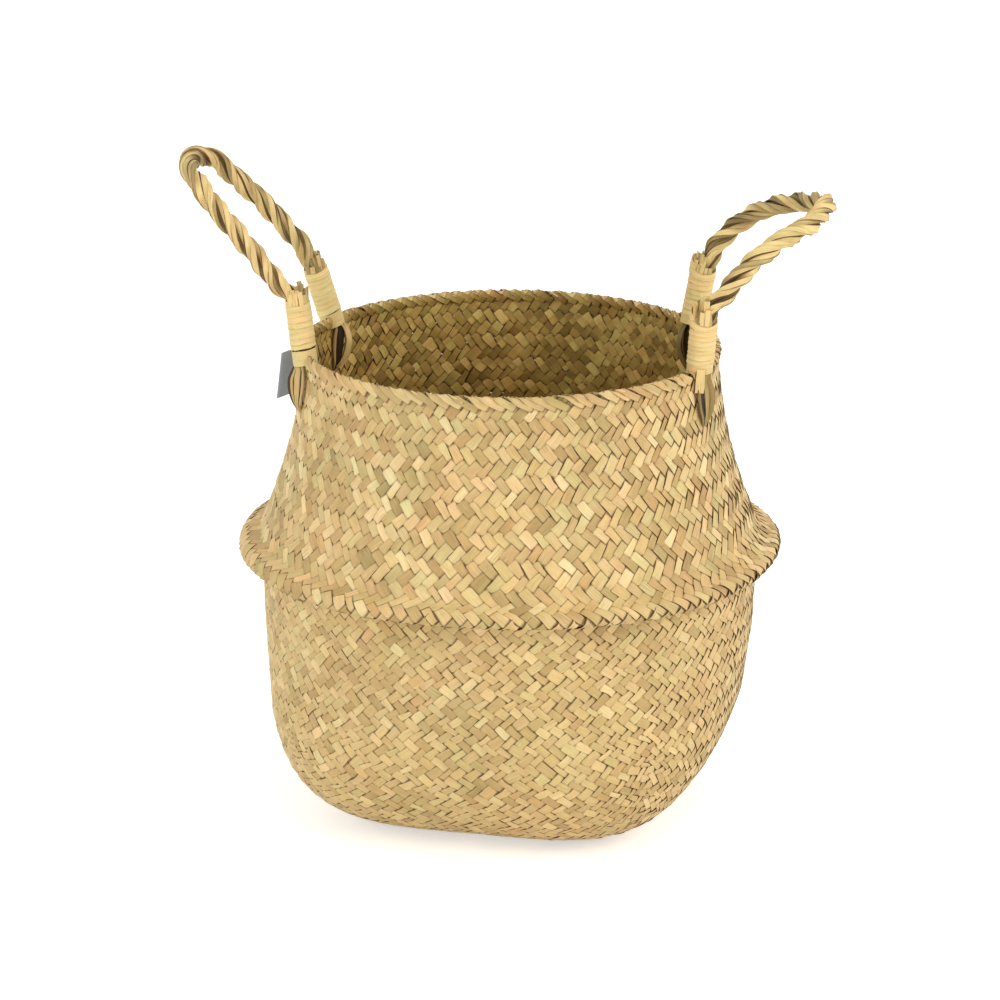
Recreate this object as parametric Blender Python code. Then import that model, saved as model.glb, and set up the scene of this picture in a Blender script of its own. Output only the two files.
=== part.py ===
"""A round woven straw basket with a square base, a folded belly and two twisted straw handles.

All lengths are metres and +Z is up. The base rests on Z = 0, the front faces -Y,
and the handles stand at the left (-X) and at the right (+X).
"""

import math

import bmesh
import bpy
import numpy as np
from mathutils import Matrix, Vector

# Gap between pieces that touch
GAP = 0.0003

# Body: mean radii of the outer surface, and heights above the floor
HEIGHT = 0.260
WALL = 0.0035
BASE_FLAT_RADIUS = 0.066
BASE_EDGE_HEIGHT = 0.070
WAIST_RADIUS = 0.134
FOLD_RADIUS = 0.137
FOLD_HEIGHT = 0.143
RIDGE_REACH = 0.013
RIDGE_RISE = 0.0025
LIP_REACH = 0.0013
LIP_RISE = 0.0125
RIM_RADIUS = 0.1138
UPPER_CURVE_POWER = 1.9
BORDER_HEIGHT = 0.0065
BORDER_THICKNESS = 0.0043

# The fold's layers, as shares of the wall
GROOVE_SHARE = 0.65
LAYER_SHARE = 0.9
RIDGE_EDGE_SHARE = 0.35

# Level bands of the twill on the walls, with a shallow dip between each two
UPPER_BANDS = 13
LOWER_BANDS = 13
BAND_DIP = 0.0009

# The base is a rounded square that turns round further up
SQUARE_HEIGHT = 0.110
BASE_POWER = 4.3
SQUARE_FADE_POWER = 1.5
BASE_TURN = math.radians(-13)

# Handles: each foot stands on the rim, and the rope leans outwards
FOOT_DROP = 0.009
BINDING_START = 0.0115
BINDING_LENGTH = 0.027
HANDLE_HEIGHT = 0.100
STRAIGHT_SHARES = (0, 0.5, 0.92, 1.04)
PLIES = 3
PLY_RADIUS = 0.0023
PLY_GAP = 0.0006
ROPE_LAY = 0.048

# Straw ends that stand in a collar round the rope, inside the binding
COLLAR_THICKNESS = 0.0009
STRAW_END_COUNT = 5
STRAW_END_HEIGHT = 0.009
STRAW_END_FLARE_SHARE = 0.22
STRAW_END_SPREAD_SHARE = 0.5
STRAW_END_POINT_POWER = 0.7

# Binding: one flat strip wound round each foot
BINDING_LOOPS = 8
STRIP_THICKNESS = 0.0008
STRIP_GAP = 0.0005

# Foot loops: a flat strap of straws from each binding through a slot in the wall
LOOP_THICKNESS = 0.0022
LOOP_CLEARANCE = 0.0006
LOOP_TOP_WIDTH = 0.0085
LOOP_TOP_SPREAD = 0.0037
LOOP_MIDDLE_WIDTH = 0.0095
LOOP_SLOT_WIDTH = 0.0062
LOOP_FLAT_SHARE = 0.6
SLOT_DROP = 0.029
SLOT_CLEARANCE = 0.0006

# Label: a bare cloth tape folded double, standing out from the wall by the left front foot
LABEL_HEIGHT = 0.024
LABEL_REACH = 0.0125
LABEL_TAPE = 0.00045
LABEL_FOLD = 0.0014
LABEL_DROP = 0.0002
LABEL_ANGLE = math.radians(185.5)

# Facets
ROUND_SIDES = 48
STRIP_STEPS = 16
PLY_STEPS_PER_LAY = 9
PLY_SIDES = 6
STRAW_END_SIDES = 4

# Each route lists what the rope passes beyond its binding, as hand-chosen shares:
# outwards and upwards of the handle's reach, and sideways of half the feet's spread
HANDLES = {
    "left": {
        "bearing": math.radians(171.75),
        "half_angle": math.radians(21.75),
        "leans": {-1: (math.radians(16), math.radians(5)), 1: (math.radians(7), math.radians(3))},
        "route_shares": (
            (0.160, 0.465, 0.902),
            (0.267, 0.597, 0.884),
            (0.394, 0.744, 0.842),
            (0.520, 0.872, 0.727),
            (0.627, 0.990, 0.564),
            (0.685, 1.028, 0.306),
            (0.699, 1.044, 0.0),
        ),
    },
    "right": {
        "bearing": math.radians(-0.3),
        "half_angle": math.radians(27),
        "leans": {-1: (math.radians(4), math.radians(-3)), 1: (math.radians(10), math.radians(2))},
        "route_shares": (
            (0.144, 0.506, 1.036),
            (0.248, 0.624, 0.977),
            (0.365, 0.711, 0.877),
            (0.475, 0.767, 0.722),
            (0.590, 0.803, 0.529),
            (0.652, 0.832, 0.278),
            (0.693, 0.849, 0.0),
        ),
    },
}

# Colour, roughness
FINISHES = {
    "woven_straw": ((0.66, 0.51, 0.27, 1), 0.62),
    "rim_straw": ((0.72, 0.57, 0.31, 1), 0.60),
    "twisted_straw": ((0.62, 0.49, 0.25, 1), 0.58),
    "binding_strip": ((0.82, 0.66, 0.36, 1), 0.45),
    "grey_tape": ((0.28, 0.30, 0.31, 1), 0.85),
}

UP = Vector((0, 0, 1))


def clear_scene():
    for old in list(bpy.data.objects):
        bpy.data.objects.remove(old, do_unlink=True)


def finish_named(name):
    found = bpy.data.materials.get(name)
    if found:
        return found
    colour, roughness = FINISHES[name]
    made = bpy.data.materials.new(name)
    made.use_nodes = True
    shader = made.node_tree.nodes["Principled BSDF"]
    shader.inputs["Base Color"].default_value = colour
    shader.inputs["Roughness"].default_value = roughness
    made.diffuse_color = colour
    return made


def object_from(name, built, finish, parent=None):
    """A named object from a bmesh, its faces turned outwards and its round stretches smooth."""
    bmesh.ops.recalc_face_normals(built, faces=built.faces)
    mesh = bpy.data.meshes.new(name)
    built.to_mesh(mesh)
    built.free()
    mesh.shade_smooth()
    mesh.set_sharp_from_angle(angle=math.radians(35))
    mesh.materials.append(finish_named(finish))
    made = bpy.data.objects.new(name, mesh)
    made.parent = parent
    bpy.context.scene.collection.objects.link(made)
    return made


def outline_share(angle, height):
    """The rounded square's reach at this angle and height, as a share of its mean radius."""
    fade = max(0.0, 1 - height / SQUARE_HEIGHT) ** SQUARE_FADE_POWER
    power = 2 + (BASE_POWER - 2) * fade
    turned = angle - BASE_TURN
    reach = (abs(math.cos(turned)) ** power + abs(math.sin(turned)) ** power) ** (-1 / power)
    return reach / 2 ** (0.25 - 0.5 / power)


def lower_radius(height):
    """Outer radius of the wall between the turned edge and the crease."""
    share = (height - BASE_EDGE_HEIGHT) / (FOLD_HEIGHT - BASE_EDGE_HEIGHT)
    return WAIST_RADIUS + (FOLD_RADIUS - WAIST_RADIUS) * share


def upper_radius(height):
    """Outer radius of the wall between the lip and the rim, which curves in as it rises."""
    share = (HEIGHT - height) / (HEIGHT - FOLD_HEIGHT - LIP_RISE)
    return RIM_RADIUS + (lip_radius() - RIM_RADIUS) * max(0.0, share) ** UPPER_CURVE_POWER


def ridge_radius():
    """Outer radius of the belly, which stands out beyond the wall below it."""
    return FOLD_RADIUS + RIDGE_REACH


def lip_radius():
    """Outer radius where the fold meets the wall above it."""
    return FOLD_RADIUS + LIP_REACH


def offset_curve(points, distance):
    """The curve of (radius, height) points moved to its left by the distance."""
    moved = []
    for index, (radius, height) in enumerate(points):
        before = points[max(index - 1, 0)]
        after = points[min(index + 1, len(points) - 1)]
        run = Vector((after[0] - before[0], after[1] - before[1])).normalized()
        moved.append((radius - run.y * distance, height + run.x * distance))
    return moved


def banded(radius_at, low, high, bands):
    """Outer (radius, height) points of a woven wall, which dips in between its bands."""
    points = []
    for step in range(2 * bands + 1):
        height = low + (high - low) * step / (2 * bands)
        dip = BAND_DIP if step % 2 else 0
        points.append((radius_at(height) - dip, height))
    return points


def ring(name, outline, finish):
    """A closed outline of (mean radius, height) points carried once round the basket."""
    built = bmesh.new()
    rounds = []
    for step in range(ROUND_SIDES):
        angle = math.tau * step / ROUND_SIDES
        around = Vector((math.cos(angle), math.sin(angle), 0))
        rounds.append(
            [
                built.verts.new(around * radius * outline_share(angle, height) + UP * height)
                for radius, height in outline
            ]
        )
    for here, there in zip(rounds, rounds[1:] + rounds[:1]):
        for low, high in zip(range(len(outline)), list(range(1, len(outline))) + [0]):
            built.faces.new((here[low], there[low], there[high], here[high]))
    return object_from(name, built, finish)


def make_base():
    """The flat square floor of the basket, as thick as the wall."""
    built = bmesh.new()
    levels = []
    for height in (0.0, WALL):
        levels.append(
            [
                built.verts.new(
                    (
                        BASE_FLAT_RADIUS * outline_share(angle, 0) * math.cos(angle),
                        BASE_FLAT_RADIUS * outline_share(angle, 0) * math.sin(angle),
                        height,
                    )
                )
                for angle in (math.tau * step / ROUND_SIDES for step in range(ROUND_SIDES))
            ]
        )
    low, high = levels
    built.faces.new(low)
    built.faces.new(high)
    for a, b, c, d in zip(low, low[1:] + low[:1], high[1:] + high[:1], high):
        built.faces.new((a, b, c, d))
    return object_from("woven_base", built, "woven_straw")


def make_turned_edge():
    """From the floor's edge up through the rounded lower edge, where the square turns round."""
    start = BASE_FLAT_RADIUS + GAP
    bends = 8
    outer = []
    for bend in range(bends + 1):
        turn = math.pi / 2 * bend / bends
        radius = start + (WAIST_RADIUS - start) * math.sin(turn)
        outer.append((radius, BASE_EDGE_HEIGHT * (1 - math.cos(turn))))
    inner = offset_curve(outer, WALL)[::2]
    inner[0] = (start, WALL)
    inner[-1] = (WAIST_RADIUS - WALL, BASE_EDGE_HEIGHT)
    return ring("turned_edge", outer + inner[::-1], "woven_straw")


def make_lower_wall():
    """The nearly upright wall from the turned edge to the crease under the belly."""
    low = BASE_EDGE_HEIGHT + GAP
    outer = banded(lower_radius, low, FOLD_HEIGHT, LOWER_BANDS)
    steps = 2
    heights = [low + (FOLD_HEIGHT - low) * step / steps for step in range(steps + 1)]
    inner = [(lower_radius(height) - WALL, height) for height in heights]
    return ring("lower_wall", outer + inner[::-1], "woven_straw")


def make_belly_fold():
    """The pleat that stands out as the belly: an under layer, a ridge and a rounded lip."""
    bottom = FOLD_HEIGHT + GAP
    ridge_height = FOLD_HEIGHT + RIDGE_RISE
    top = FOLD_HEIGHT + LIP_RISE
    edge_radius = ridge_radius() - RIDGE_EDGE_SHARE * WALL
    groove_radius = edge_radius - WALL
    layer_top = bottom + LAYER_SHARE * WALL
    groove_rise = GROOVE_SHARE * (top - layer_top) / 2
    outer = [(FOLD_RADIUS, bottom)]
    outer.append(((FOLD_RADIUS + edge_radius) / 2, bottom + RIDGE_RISE / 4))
    outer.append((edge_radius, bottom + RIDGE_RISE / 2))
    bends = 5
    for bend in range(bends + 1):
        turn = math.pi / 2 * bend / bends
        radius = lip_radius() + (ridge_radius() - lip_radius()) * math.cos(turn)
        outer.append((radius, ridge_height + (top - ridge_height) * math.sin(turn)))
    inner = [
        (lip_radius() - WALL, top),
        ((lip_radius() + groove_radius - WALL) / 2, layer_top + groove_rise * 2),
        (groove_radius, layer_top + groove_rise / 2),
        (groove_radius, layer_top),
        (FOLD_RADIUS, layer_top - RIDGE_RISE / 4),
        (FOLD_RADIUS - WALL, bottom + RIDGE_RISE / 4),
        (FOLD_RADIUS - WALL, bottom),
    ]
    return ring("belly_fold", outer + inner, "woven_straw")


def make_upper_wall():
    """The wall above the belly, with a slot through it below each handle foot."""
    low = FOLD_HEIGHT + LIP_RISE + GAP
    high = HEIGHT - BORDER_HEIGHT - GAP
    outer = banded(upper_radius, low, high, UPPER_BANDS)
    steps = 5
    heights = [low + (high - low) * step / steps for step in range(steps + 1)]
    inner = [(upper_radius(height) - WALL, height) for height in heights]
    wall = ring("upper_wall", outer + inner[::-1], "woven_straw")
    for side, handle in HANDLES.items():
        for end in (-1, 1):
            cutter = slot_cutter(f"{side}_slot_{end}", handle["bearing"] + end * handle["half_angle"])
            cut = wall.modifiers.new(cutter.name, "BOOLEAN")
            cut.operation = "DIFFERENCE"
            cut.object = cutter
    return wall


def slot_cutter(name, angle):
    """A box through the wall where a foot loop turns back up on the inside."""
    inner_turn = loop_offset() - LOOP_THICKNESS / 2
    outer_turn = loop_offset() + LOOP_THICKNESS / 2
    top = slot_height() - math.sqrt(inner_turn**2 - (WALL / 2) ** 2) + SLOT_CLEARANCE
    bottom = slot_height() - outer_turn - SLOT_CLEARANCE
    built = bmesh.new()
    bmesh.ops.create_cube(built, size=1)
    built_size = (4 * WALL, LOOP_SLOT_WIDTH + 2 * SLOT_CLEARANCE, top - bottom)
    bmesh.ops.scale(built, vec=built_size, verts=built.verts)
    cutter = object_from(name, built, "woven_straw")
    radius = upper_radius((top + bottom) / 2) - WALL / 2
    cutter.location = (radius * math.cos(angle), radius * math.sin(angle), (top + bottom) / 2)
    cutter.rotation_euler.z = angle
    cutter.hide_render = True
    cutter.display_type = "WIRE"
    return cutter


def make_rim_border():
    """The thicker edge where the straws are folded over and tucked back in."""
    outer_radius = RIM_RADIUS + (BORDER_THICKNESS - WALL) / 2
    half = BORDER_THICKNESS / 2
    low = HEIGHT - BORDER_HEIGHT
    shoulder = HEIGHT - half
    outline = [(outer_radius - BORDER_THICKNESS, low), (outer_radius, low)]
    bends = 5
    for bend in range(bends + 1):
        turn = math.pi * bend / bends
        outline.append((outer_radius - half + half * math.cos(turn), shoulder + half * math.sin(turn)))
    return ring("rim_border", outline, "rim_straw")


def rope_radius():
    """From the rope's middle to the middle of each ply."""
    return (PLY_RADIUS + PLY_GAP / 2) / math.sin(math.pi / PLIES)


def collar_radius():
    return rope_radius() + PLY_RADIUS + GAP


def binding_radius():
    """The inner face of the wound strip."""
    return collar_radius() + COLLAR_THICKNESS + GAP


def loop_offset():
    """From the middle of the wall to the middle of a foot loop's strap on either side of it."""
    return BORDER_THICKNESS / 2 + LOOP_CLEARANCE + LOOP_THICKNESS / 2


def slot_height():
    """The height where a foot loop starts to turn through the wall."""
    return HEIGHT - SLOT_DROP


def foot_radius():
    """The middle of the rim, where the feet stand."""
    return RIM_RADIUS - WALL / 2


def make_pivot(side, handle):
    """The empty on the handle's axis: X points outwards, Y along the line through both feet."""
    pivot = bpy.data.objects.new(f"{side}_handle_pivot", None)
    bearing = handle["bearing"]
    distance = foot_radius() * math.cos(handle["half_angle"])
    pivot.location = (
        distance * math.cos(bearing),
        distance * math.sin(bearing),
        HEIGHT - FOOT_DROP,
    )
    pivot.rotation_euler.z = bearing
    bpy.context.scene.collection.objects.link(pivot)
    return pivot


def foot_point(handle, end):
    return Vector((0, end * foot_radius() * math.sin(handle["half_angle"]), 0))


def foot_direction(handle, end):
    """The way a foot leans: outwards, and in towards the other foot."""
    out, inwards = handle["leans"][end]
    return Vector((math.tan(out), -end * math.tan(inwards), 1)).normalized()


def smooth_route(points, spacing):
    """A smooth curve through the points, read off at an even spacing."""
    gaps = [(after - before).length for before, after in zip(points, points[1:])]
    slopes = [(after - before) / gap for before, after, gap in zip(points, points[1:], gaps)]
    tangents = slopes[:1]
    for gap, next_gap, slope, next_slope in zip(gaps, gaps[1:], slopes, slopes[1:]):
        tangents.append((slope * next_gap + next_slope * gap) / (gap + next_gap))
    tangents.append(slopes[-1])
    fine = []
    parts = 24
    for before, after, gap, slope, next_slope in zip(points, points[1:], gaps, tangents, tangents[1:]):
        for part in range(parts):
            t = part / parts
            from_before = before * (1 + 2 * t) + slope * gap * t
            from_after = after * (3 - 2 * t) - next_slope * gap * (1 - t)
            fine.append(from_before * (1 - t) ** 2 + from_after * t**2)
    fine.append(points[-1])
    lengths = [0.0]
    for here, there in zip(fine, fine[1:]):
        lengths.append(lengths[-1] + (there - here).length)
    count = math.ceil(lengths[-1] / spacing)
    wanted = np.linspace(0, lengths[-1], count + 1)
    axes = [np.interp(wanted, lengths, [point[axis] for point in fine]) for axis in range(3)]
    return [Vector(point) for point in zip(*axes)]


def rope_route(handle):
    """The rope's middle from one foot over the tip to the other."""
    spread = foot_radius() * math.sin(handle["half_angle"])
    halves = []
    for end in (-1, 1):
        foot = foot_point(handle, end)
        direction = foot_direction(handle, end)
        half = [foot + direction * (BINDING_START + BINDING_LENGTH * share) for share in STRAIGHT_SHARES]
        for out, rise, aside in handle["route_shares"]:
            half.append(Vector((out * HANDLE_HEIGHT, end * aside * spread, rise * HANDLE_HEIGHT)))
        halves.append(half)
    return smooth_route(halves[0] + halves[1][-2::-1], ROPE_LAY / PLY_STEPS_PER_LAY)


def runs_along(points):
    """The direction in which the route runs at each point."""
    befores = points[:1] + points[:-1]
    afters = points[1:] + points[-1:]
    return [(after - before).normalized() for before, after in zip(befores, afters)]


def carried_frames(runs):
    """Two directions square to each run, carried along the route without twist."""
    first = runs[0].orthogonal().normalized()
    frames = []
    for before, run in zip(runs[:1] + runs[:-1], runs):
        first = before.rotation_difference(run) @ first
        first = (first - run * first.dot(run)).normalized()
        frames.append((first, run.cross(first)))
    return frames


def sweep(name, sections, finish, parent=None):
    """A closed tube through the sections, which hold as many points each."""
    built = bmesh.new()
    rows = [[built.verts.new(point) for point in section] for section in sections]
    for here, there in zip(rows, rows[1:]):
        for a, b, c, d in zip(here, here[1:] + here[:1], there[1:] + there[:1], there):
            built.faces.new((a, b, c, d))
    built.faces.new(rows[0])
    built.faces.new(rows[-1])
    return object_from(name, built, finish, parent)


def make_plies(side, handle, pivot):
    """Three round bundles of straw laid round one another as a rope."""
    route = rope_route(handle)
    route_runs = runs_along(route)
    frames = carried_frames(route_runs)
    spacing = (route[1] - route[0]).length
    for ply in range(PLIES):
        middles = []
        for index, (point, (first, second)) in enumerate(zip(route, frames)):
            turn = math.tau * (ply / PLIES + index * spacing / ROPE_LAY)
            middles.append(point + (first * math.cos(turn) + second * math.sin(turn)) * rope_radius())
        runs = route_runs[:1] + runs_along(middles)[1:-1] + route_runs[-1:]
        sections = []
        for middle, (first, second) in zip(middles, carried_frames(runs)):
            corners = [math.tau * corner / PLY_SIDES for corner in range(PLY_SIDES)]
            arounds = [first * math.cos(corner) + second * math.sin(corner) for corner in corners]
            sections.append([middle + around * PLY_RADIUS for around in arounds])
        sweep(f"{side}_rope_ply_{ply + 1}", sections, "twisted_straw", pivot)


def foot_frame(handle, end):
    """The foot's start on the rim, its lean, and two directions square to that."""
    along = foot_direction(handle, end)
    across = along.cross(Vector((0, 1, 0))).normalized()
    return foot_point(handle, end), along, across, along.cross(across)


def make_straw_ends(name, handle, end, pivot):
    """A collar of straws round the rope, whose cut ends stand out above the binding's inner side."""
    start, along, first, second = foot_frame(handle, end)
    inner = collar_radius()
    outer = inner + COLLAR_THICKNESS
    sides = STRAW_END_SIDES * STRAW_END_COUNT
    built = bmesh.new()
    rounds = []
    for step in range(sides):
        angle = math.tau * step / sides
        around = first * math.cos(angle) + second * math.sin(angle)
        point = abs(math.cos(angle * STRAW_END_COUNT / 2)) ** STRAW_END_POINT_POWER
        inwards = (math.cos(angle) + STRAW_END_SPREAD_SHARE) / (1 + STRAW_END_SPREAD_SHARE)
        rise = STRAW_END_HEIGHT * point * max(inwards, 0)
        flare = rise * STRAW_END_FLARE_SHARE
        top = BINDING_START + BINDING_LENGTH
        rounds.append(
            [
                built.verts.new(start + along * reach + around * radius)
                for radius, reach in (
                    (inner, BINDING_START),
                    (outer, BINDING_START),
                    (outer, top),
                    (outer + flare, top + rise),
                    (inner + flare, top + rise),
                    (inner, top),
                )
            ]
        )
    for here, there in zip(rounds, rounds[1:] + rounds[:1]):
        for a, b, c, d in zip(here, here[1:] + here[:1], there[1:] + there[:1], there):
            built.faces.new((a, b, c, d))
    return object_from(name, built, "twisted_straw", pivot)


def make_binding(name, handle, end, pivot):
    """One flat strip wound round the collar, whose least gap to itself is measured."""
    start, along, first, second = foot_frame(handle, end)
    pitch = BINDING_LENGTH / (BINDING_LOOPS + 1)
    width = pitch - STRIP_GAP
    inner = binding_radius()
    sections = []
    for step in range(BINDING_LOOPS * STRIP_STEPS + 1):
        angle = math.tau * step / STRIP_STEPS
        around = first * math.cos(angle) + second * math.sin(angle)
        low = BINDING_START + pitch * step / STRIP_STEPS
        corners = (
            (inner, low),
            (inner + STRIP_THICKNESS, low),
            (inner + STRIP_THICKNESS, low + width),
            (inner, low + width),
        )
        sections.append([start + along * reach + around * radius for radius, reach in corners])
    print(f"{name}: least gap to itself {least_gap(sections, STRIP_STEPS) * 1000:.2f} mm")
    return sweep(name, sections, "binding_strip", pivot)


def least_gap(sections, steps_per_loop):
    """The least distance between points of the strip that lie half a loop or more apart."""
    points = np.array([[tuple(point) for point in section] for section in sections])
    least = math.inf
    for index in range(len(points) - steps_per_loop // 2):
        further = points[index + steps_per_loop // 2 :].reshape(-1, 1, 3)
        distances = np.linalg.norm(further - points[index][None], axis=2)
        least = min(least, float(distances.min()))
    return least


def make_foot_loop(name, handle, end, pivot):
    """A strap from the binding down the outside, through the slot and up the inside."""
    angle = handle["bearing"] + end * handle["half_angle"]
    outwards = Vector((math.cos(angle), math.sin(angle), 0))
    aside = UP.cross(outwards)
    turned = Matrix.Rotation(handle["bearing"], 4, "Z")
    start, along, _, _ = foot_frame(handle, end)
    along = turned @ along
    top = pivot.location + turned @ start + along * (BINDING_START - GAP)
    top_outwards = (outwards - along * outwards.dot(along)).normalized()
    top_aside = along.cross(top_outwards)
    offset = loop_offset()
    levels = (
        (HEIGHT - BORDER_THICKNESS / 2, LOOP_MIDDLE_WIDTH),
        ((HEIGHT + slot_height()) / 2, LOOP_MIDDLE_WIDTH),
        (slot_height() + offset, (LOOP_MIDDLE_WIDTH + LOOP_SLOT_WIDTH) / 2),
    )
    legs = {}
    for way in (1, -1):
        legs[way] = [(top + top_outwards * way * LOOP_TOP_SPREAD, LOOP_TOP_WIDTH, top_outwards * way, top_aside)]
        for height, width in levels:
            middle = outwards * (upper_radius(height) - WALL / 2) + UP * height
            legs[way].append((middle + outwards * way * offset, width, outwards * way, aside))
    centre = outwards * (upper_radius(slot_height()) - WALL / 2) + UP * slot_height()
    bends = 8
    turn = []
    for bend in range(bends + 1):
        half_turn = math.pi * bend / bends
        around = outwards * math.cos(half_turn) - UP * math.sin(half_turn)
        turn.append((centre + around * offset, LOOP_SLOT_WIDTH, around, aside))
    sections = []
    for point, width, outer_way, side_way in legs[1] + turn + legs[-1][::-1]:
        thick = outer_way * LOOP_THICKNESS / 2
        wide = side_way * width / 2
        flat = wide * LOOP_FLAT_SHARE
        sections.append([point + wide, point + flat + thick, point - flat + thick])
        sections[-1] += [point - wide, point - flat - thick, point + flat - thick]
    return sweep(name, sections, "twisted_straw")


def make_label():
    """A folded tape: two layers side by side, joined by a fold at the outer edge."""
    reach = LABEL_REACH
    half = LABEL_FOLD / 2
    inner_half = half - LABEL_TAPE
    outline = [(0, -half), (reach - half, -half)]
    bends = 4
    for bend in range(1, bends):
        turn = -math.pi / 2 + math.pi * bend / bends
        outline.append((reach - half + half * math.cos(turn), half * math.sin(turn)))
    outline += [(reach - half, half), (0, half), (0, inner_half), (reach - half, inner_half)]
    outline += [(reach - half + inner_half * 0.6, 0), (reach - half, -inner_half), (0, -inner_half)]
    built = bmesh.new()
    low = [built.verts.new((x, y, 0)) for x, y in outline]
    face = built.faces.new(low)
    raised = bmesh.ops.extrude_face_region(built, geom=[face])
    lifted = [item for item in raised["geom"] if isinstance(item, bmesh.types.BMVert)]
    bmesh.ops.translate(built, vec=(0, 0, LABEL_HEIGHT), verts=lifted)
    label = object_from("label", built, "grey_tape")
    low_height = HEIGHT - LABEL_DROP - LABEL_HEIGHT
    radius = upper_radius(low_height) + GAP
    label.location = (radius * math.cos(LABEL_ANGLE), radius * math.sin(LABEL_ANGLE), low_height)
    label.rotation_euler.z = LABEL_ANGLE
    return label


def make_handle(side, handle):
    pivot = make_pivot(side, handle)
    make_plies(side, handle, pivot)
    for end, place in ((-1, "back"), (1, "front")) if side == "left" else ((-1, "front"), (1, "back")):
        make_straw_ends(f"{side}_{place}_straw_ends", handle, end, pivot)
        make_binding(f"{side}_{place}_binding", handle, end, pivot)
        make_foot_loop(f"{side}_{place}_foot_loop", handle, end, pivot)


def main():
    clear_scene()
    make_base()
    make_turned_edge()
    make_lower_wall()
    make_belly_fold()
    make_upper_wall()
    make_rim_border()
    make_label()
    for side, handle in HANDLES.items():
        make_handle(side, handle)


main()
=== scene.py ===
"""A woven belly basket with twisted rope handles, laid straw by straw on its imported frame."""

import math

import bpy
import numpy as np
from mathutils import Matrix, Vector


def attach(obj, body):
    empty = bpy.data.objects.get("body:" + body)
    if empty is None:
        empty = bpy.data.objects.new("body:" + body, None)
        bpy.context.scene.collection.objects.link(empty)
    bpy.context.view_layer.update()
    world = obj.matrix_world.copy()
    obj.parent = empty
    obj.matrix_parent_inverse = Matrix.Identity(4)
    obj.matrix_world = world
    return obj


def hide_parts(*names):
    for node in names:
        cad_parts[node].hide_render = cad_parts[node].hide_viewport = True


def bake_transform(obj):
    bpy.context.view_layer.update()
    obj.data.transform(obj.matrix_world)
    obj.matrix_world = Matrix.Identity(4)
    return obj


bl_info = {
    "name": "Belly Basket",
    "version": (1, 0, 0),
    "blender": (4, 5, 0),
    "location": "3D View > Sidebar > Basket",
    "description": "Weaves a belly basket with rope handles, straw by straw",
    "category": "Add Mesh",
}

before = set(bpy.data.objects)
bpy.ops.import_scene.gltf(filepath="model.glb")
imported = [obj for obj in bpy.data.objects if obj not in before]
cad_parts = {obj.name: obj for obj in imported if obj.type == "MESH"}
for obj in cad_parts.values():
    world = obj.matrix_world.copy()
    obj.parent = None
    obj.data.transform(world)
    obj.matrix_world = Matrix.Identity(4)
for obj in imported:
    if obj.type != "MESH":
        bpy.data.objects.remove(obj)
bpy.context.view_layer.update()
UP = Vector((0, 0, 1))
DEGREE = math.radians(1)
MM = 0.001

# Basket, in metres
HEIGHT = 0.260
WALL = 0.0035
BASE_FLAT_RADIUS = 0.066
BASE_EDGE_HEIGHT = 0.070
WAIST_RADIUS = 0.134
FOLD_RADIUS = 0.137
FOLD_HEIGHT = 0.143
LIP_REACH = 0.0013
LIP_RISE = 0.0125
RIM_RADIUS = 0.1138
UPPER_CURVE_POWER = 1.9
SQUARE_HEIGHT = 0.110
BASE_POWER = 4.3
SQUARE_FADE_POWER = 1.5
BASE_TURN = -13 * DEGREE

# Rows of the weave, counted upwards from the edge of the square that the base starts as
BASE_SIDES = 4
SQUARE_REACH = 0.113
FLAT_ROW = 0.00343
SETTLE_ROWS = 30
WAIST_ROW = 21.5
CREASE_ROW = 49
RIDGE_ROW = 53.4
LIP_ROW = 58
RIM_ROW = 86
RIM_ROW_HEIGHT = 0.00384
RIM_ROW_DROP = 0.0025
TUCK_ROW = RIM_ROW - 1.3
TUCK_DEPTH = 0.0004
BEND_SOFTENING = 0.0024
ROW_SOFTENING = 1.6

# How far the hand-made wall strays: rows up and straws round, then its radius and its height
ROW_DRIFT = 0.0009
ROUND_DRIFT = 0.006
BULGE = 0.0008
SAG = 0.0006

# The middle of the belly's weave, outwards of the crease and above it, in millimetres
BELLY_COURSE = (
    *((0.4, 0.2), (1.1, 1.2), (3.0, 1.9), (7.4, 2.5), (10.8, 3.0), (12.4, 3.8), (12.9, 5.2)),
    *((12.2, 7.2), (10.3, 9.2), (7.5, 10.5), (4.7, 11.2), (2.9, 11.7), (1.5, 12.7), (0.7, 14.1)),
)

# Each lean's rows to a straw's width and the phase of its wave
LEANS = {"right": (0.5, 0.5), "left": (-0.5, 2.5)}
# Rows that each lean's straws run between, rows of the guide, a straw's segments and how high its wave is
ZONES = {
    "base": ((0, 18.5), (0, 20.5), (-30.5, 22), 180, 1.0),
    "lower_wall": ((18.5, 46.5), (20.5, 48.5), (17, 50), 168, 0.95),
    "belly": ((46.5, 58.5), (48.5, 60.5), (45, 62), 84, 1.0),
    "upper_wall": ((58.5, 86.4), (60.5, 86.4), (57, 87), 168, 1.3),
}

# Border: how far its sides lie inside the rim's radius, and its top below the rim's
BORDER_OUTSIDE = 0.0004
BORDER_INSIDE = 0.0035
BORDER_DROP = 0.0004

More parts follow.
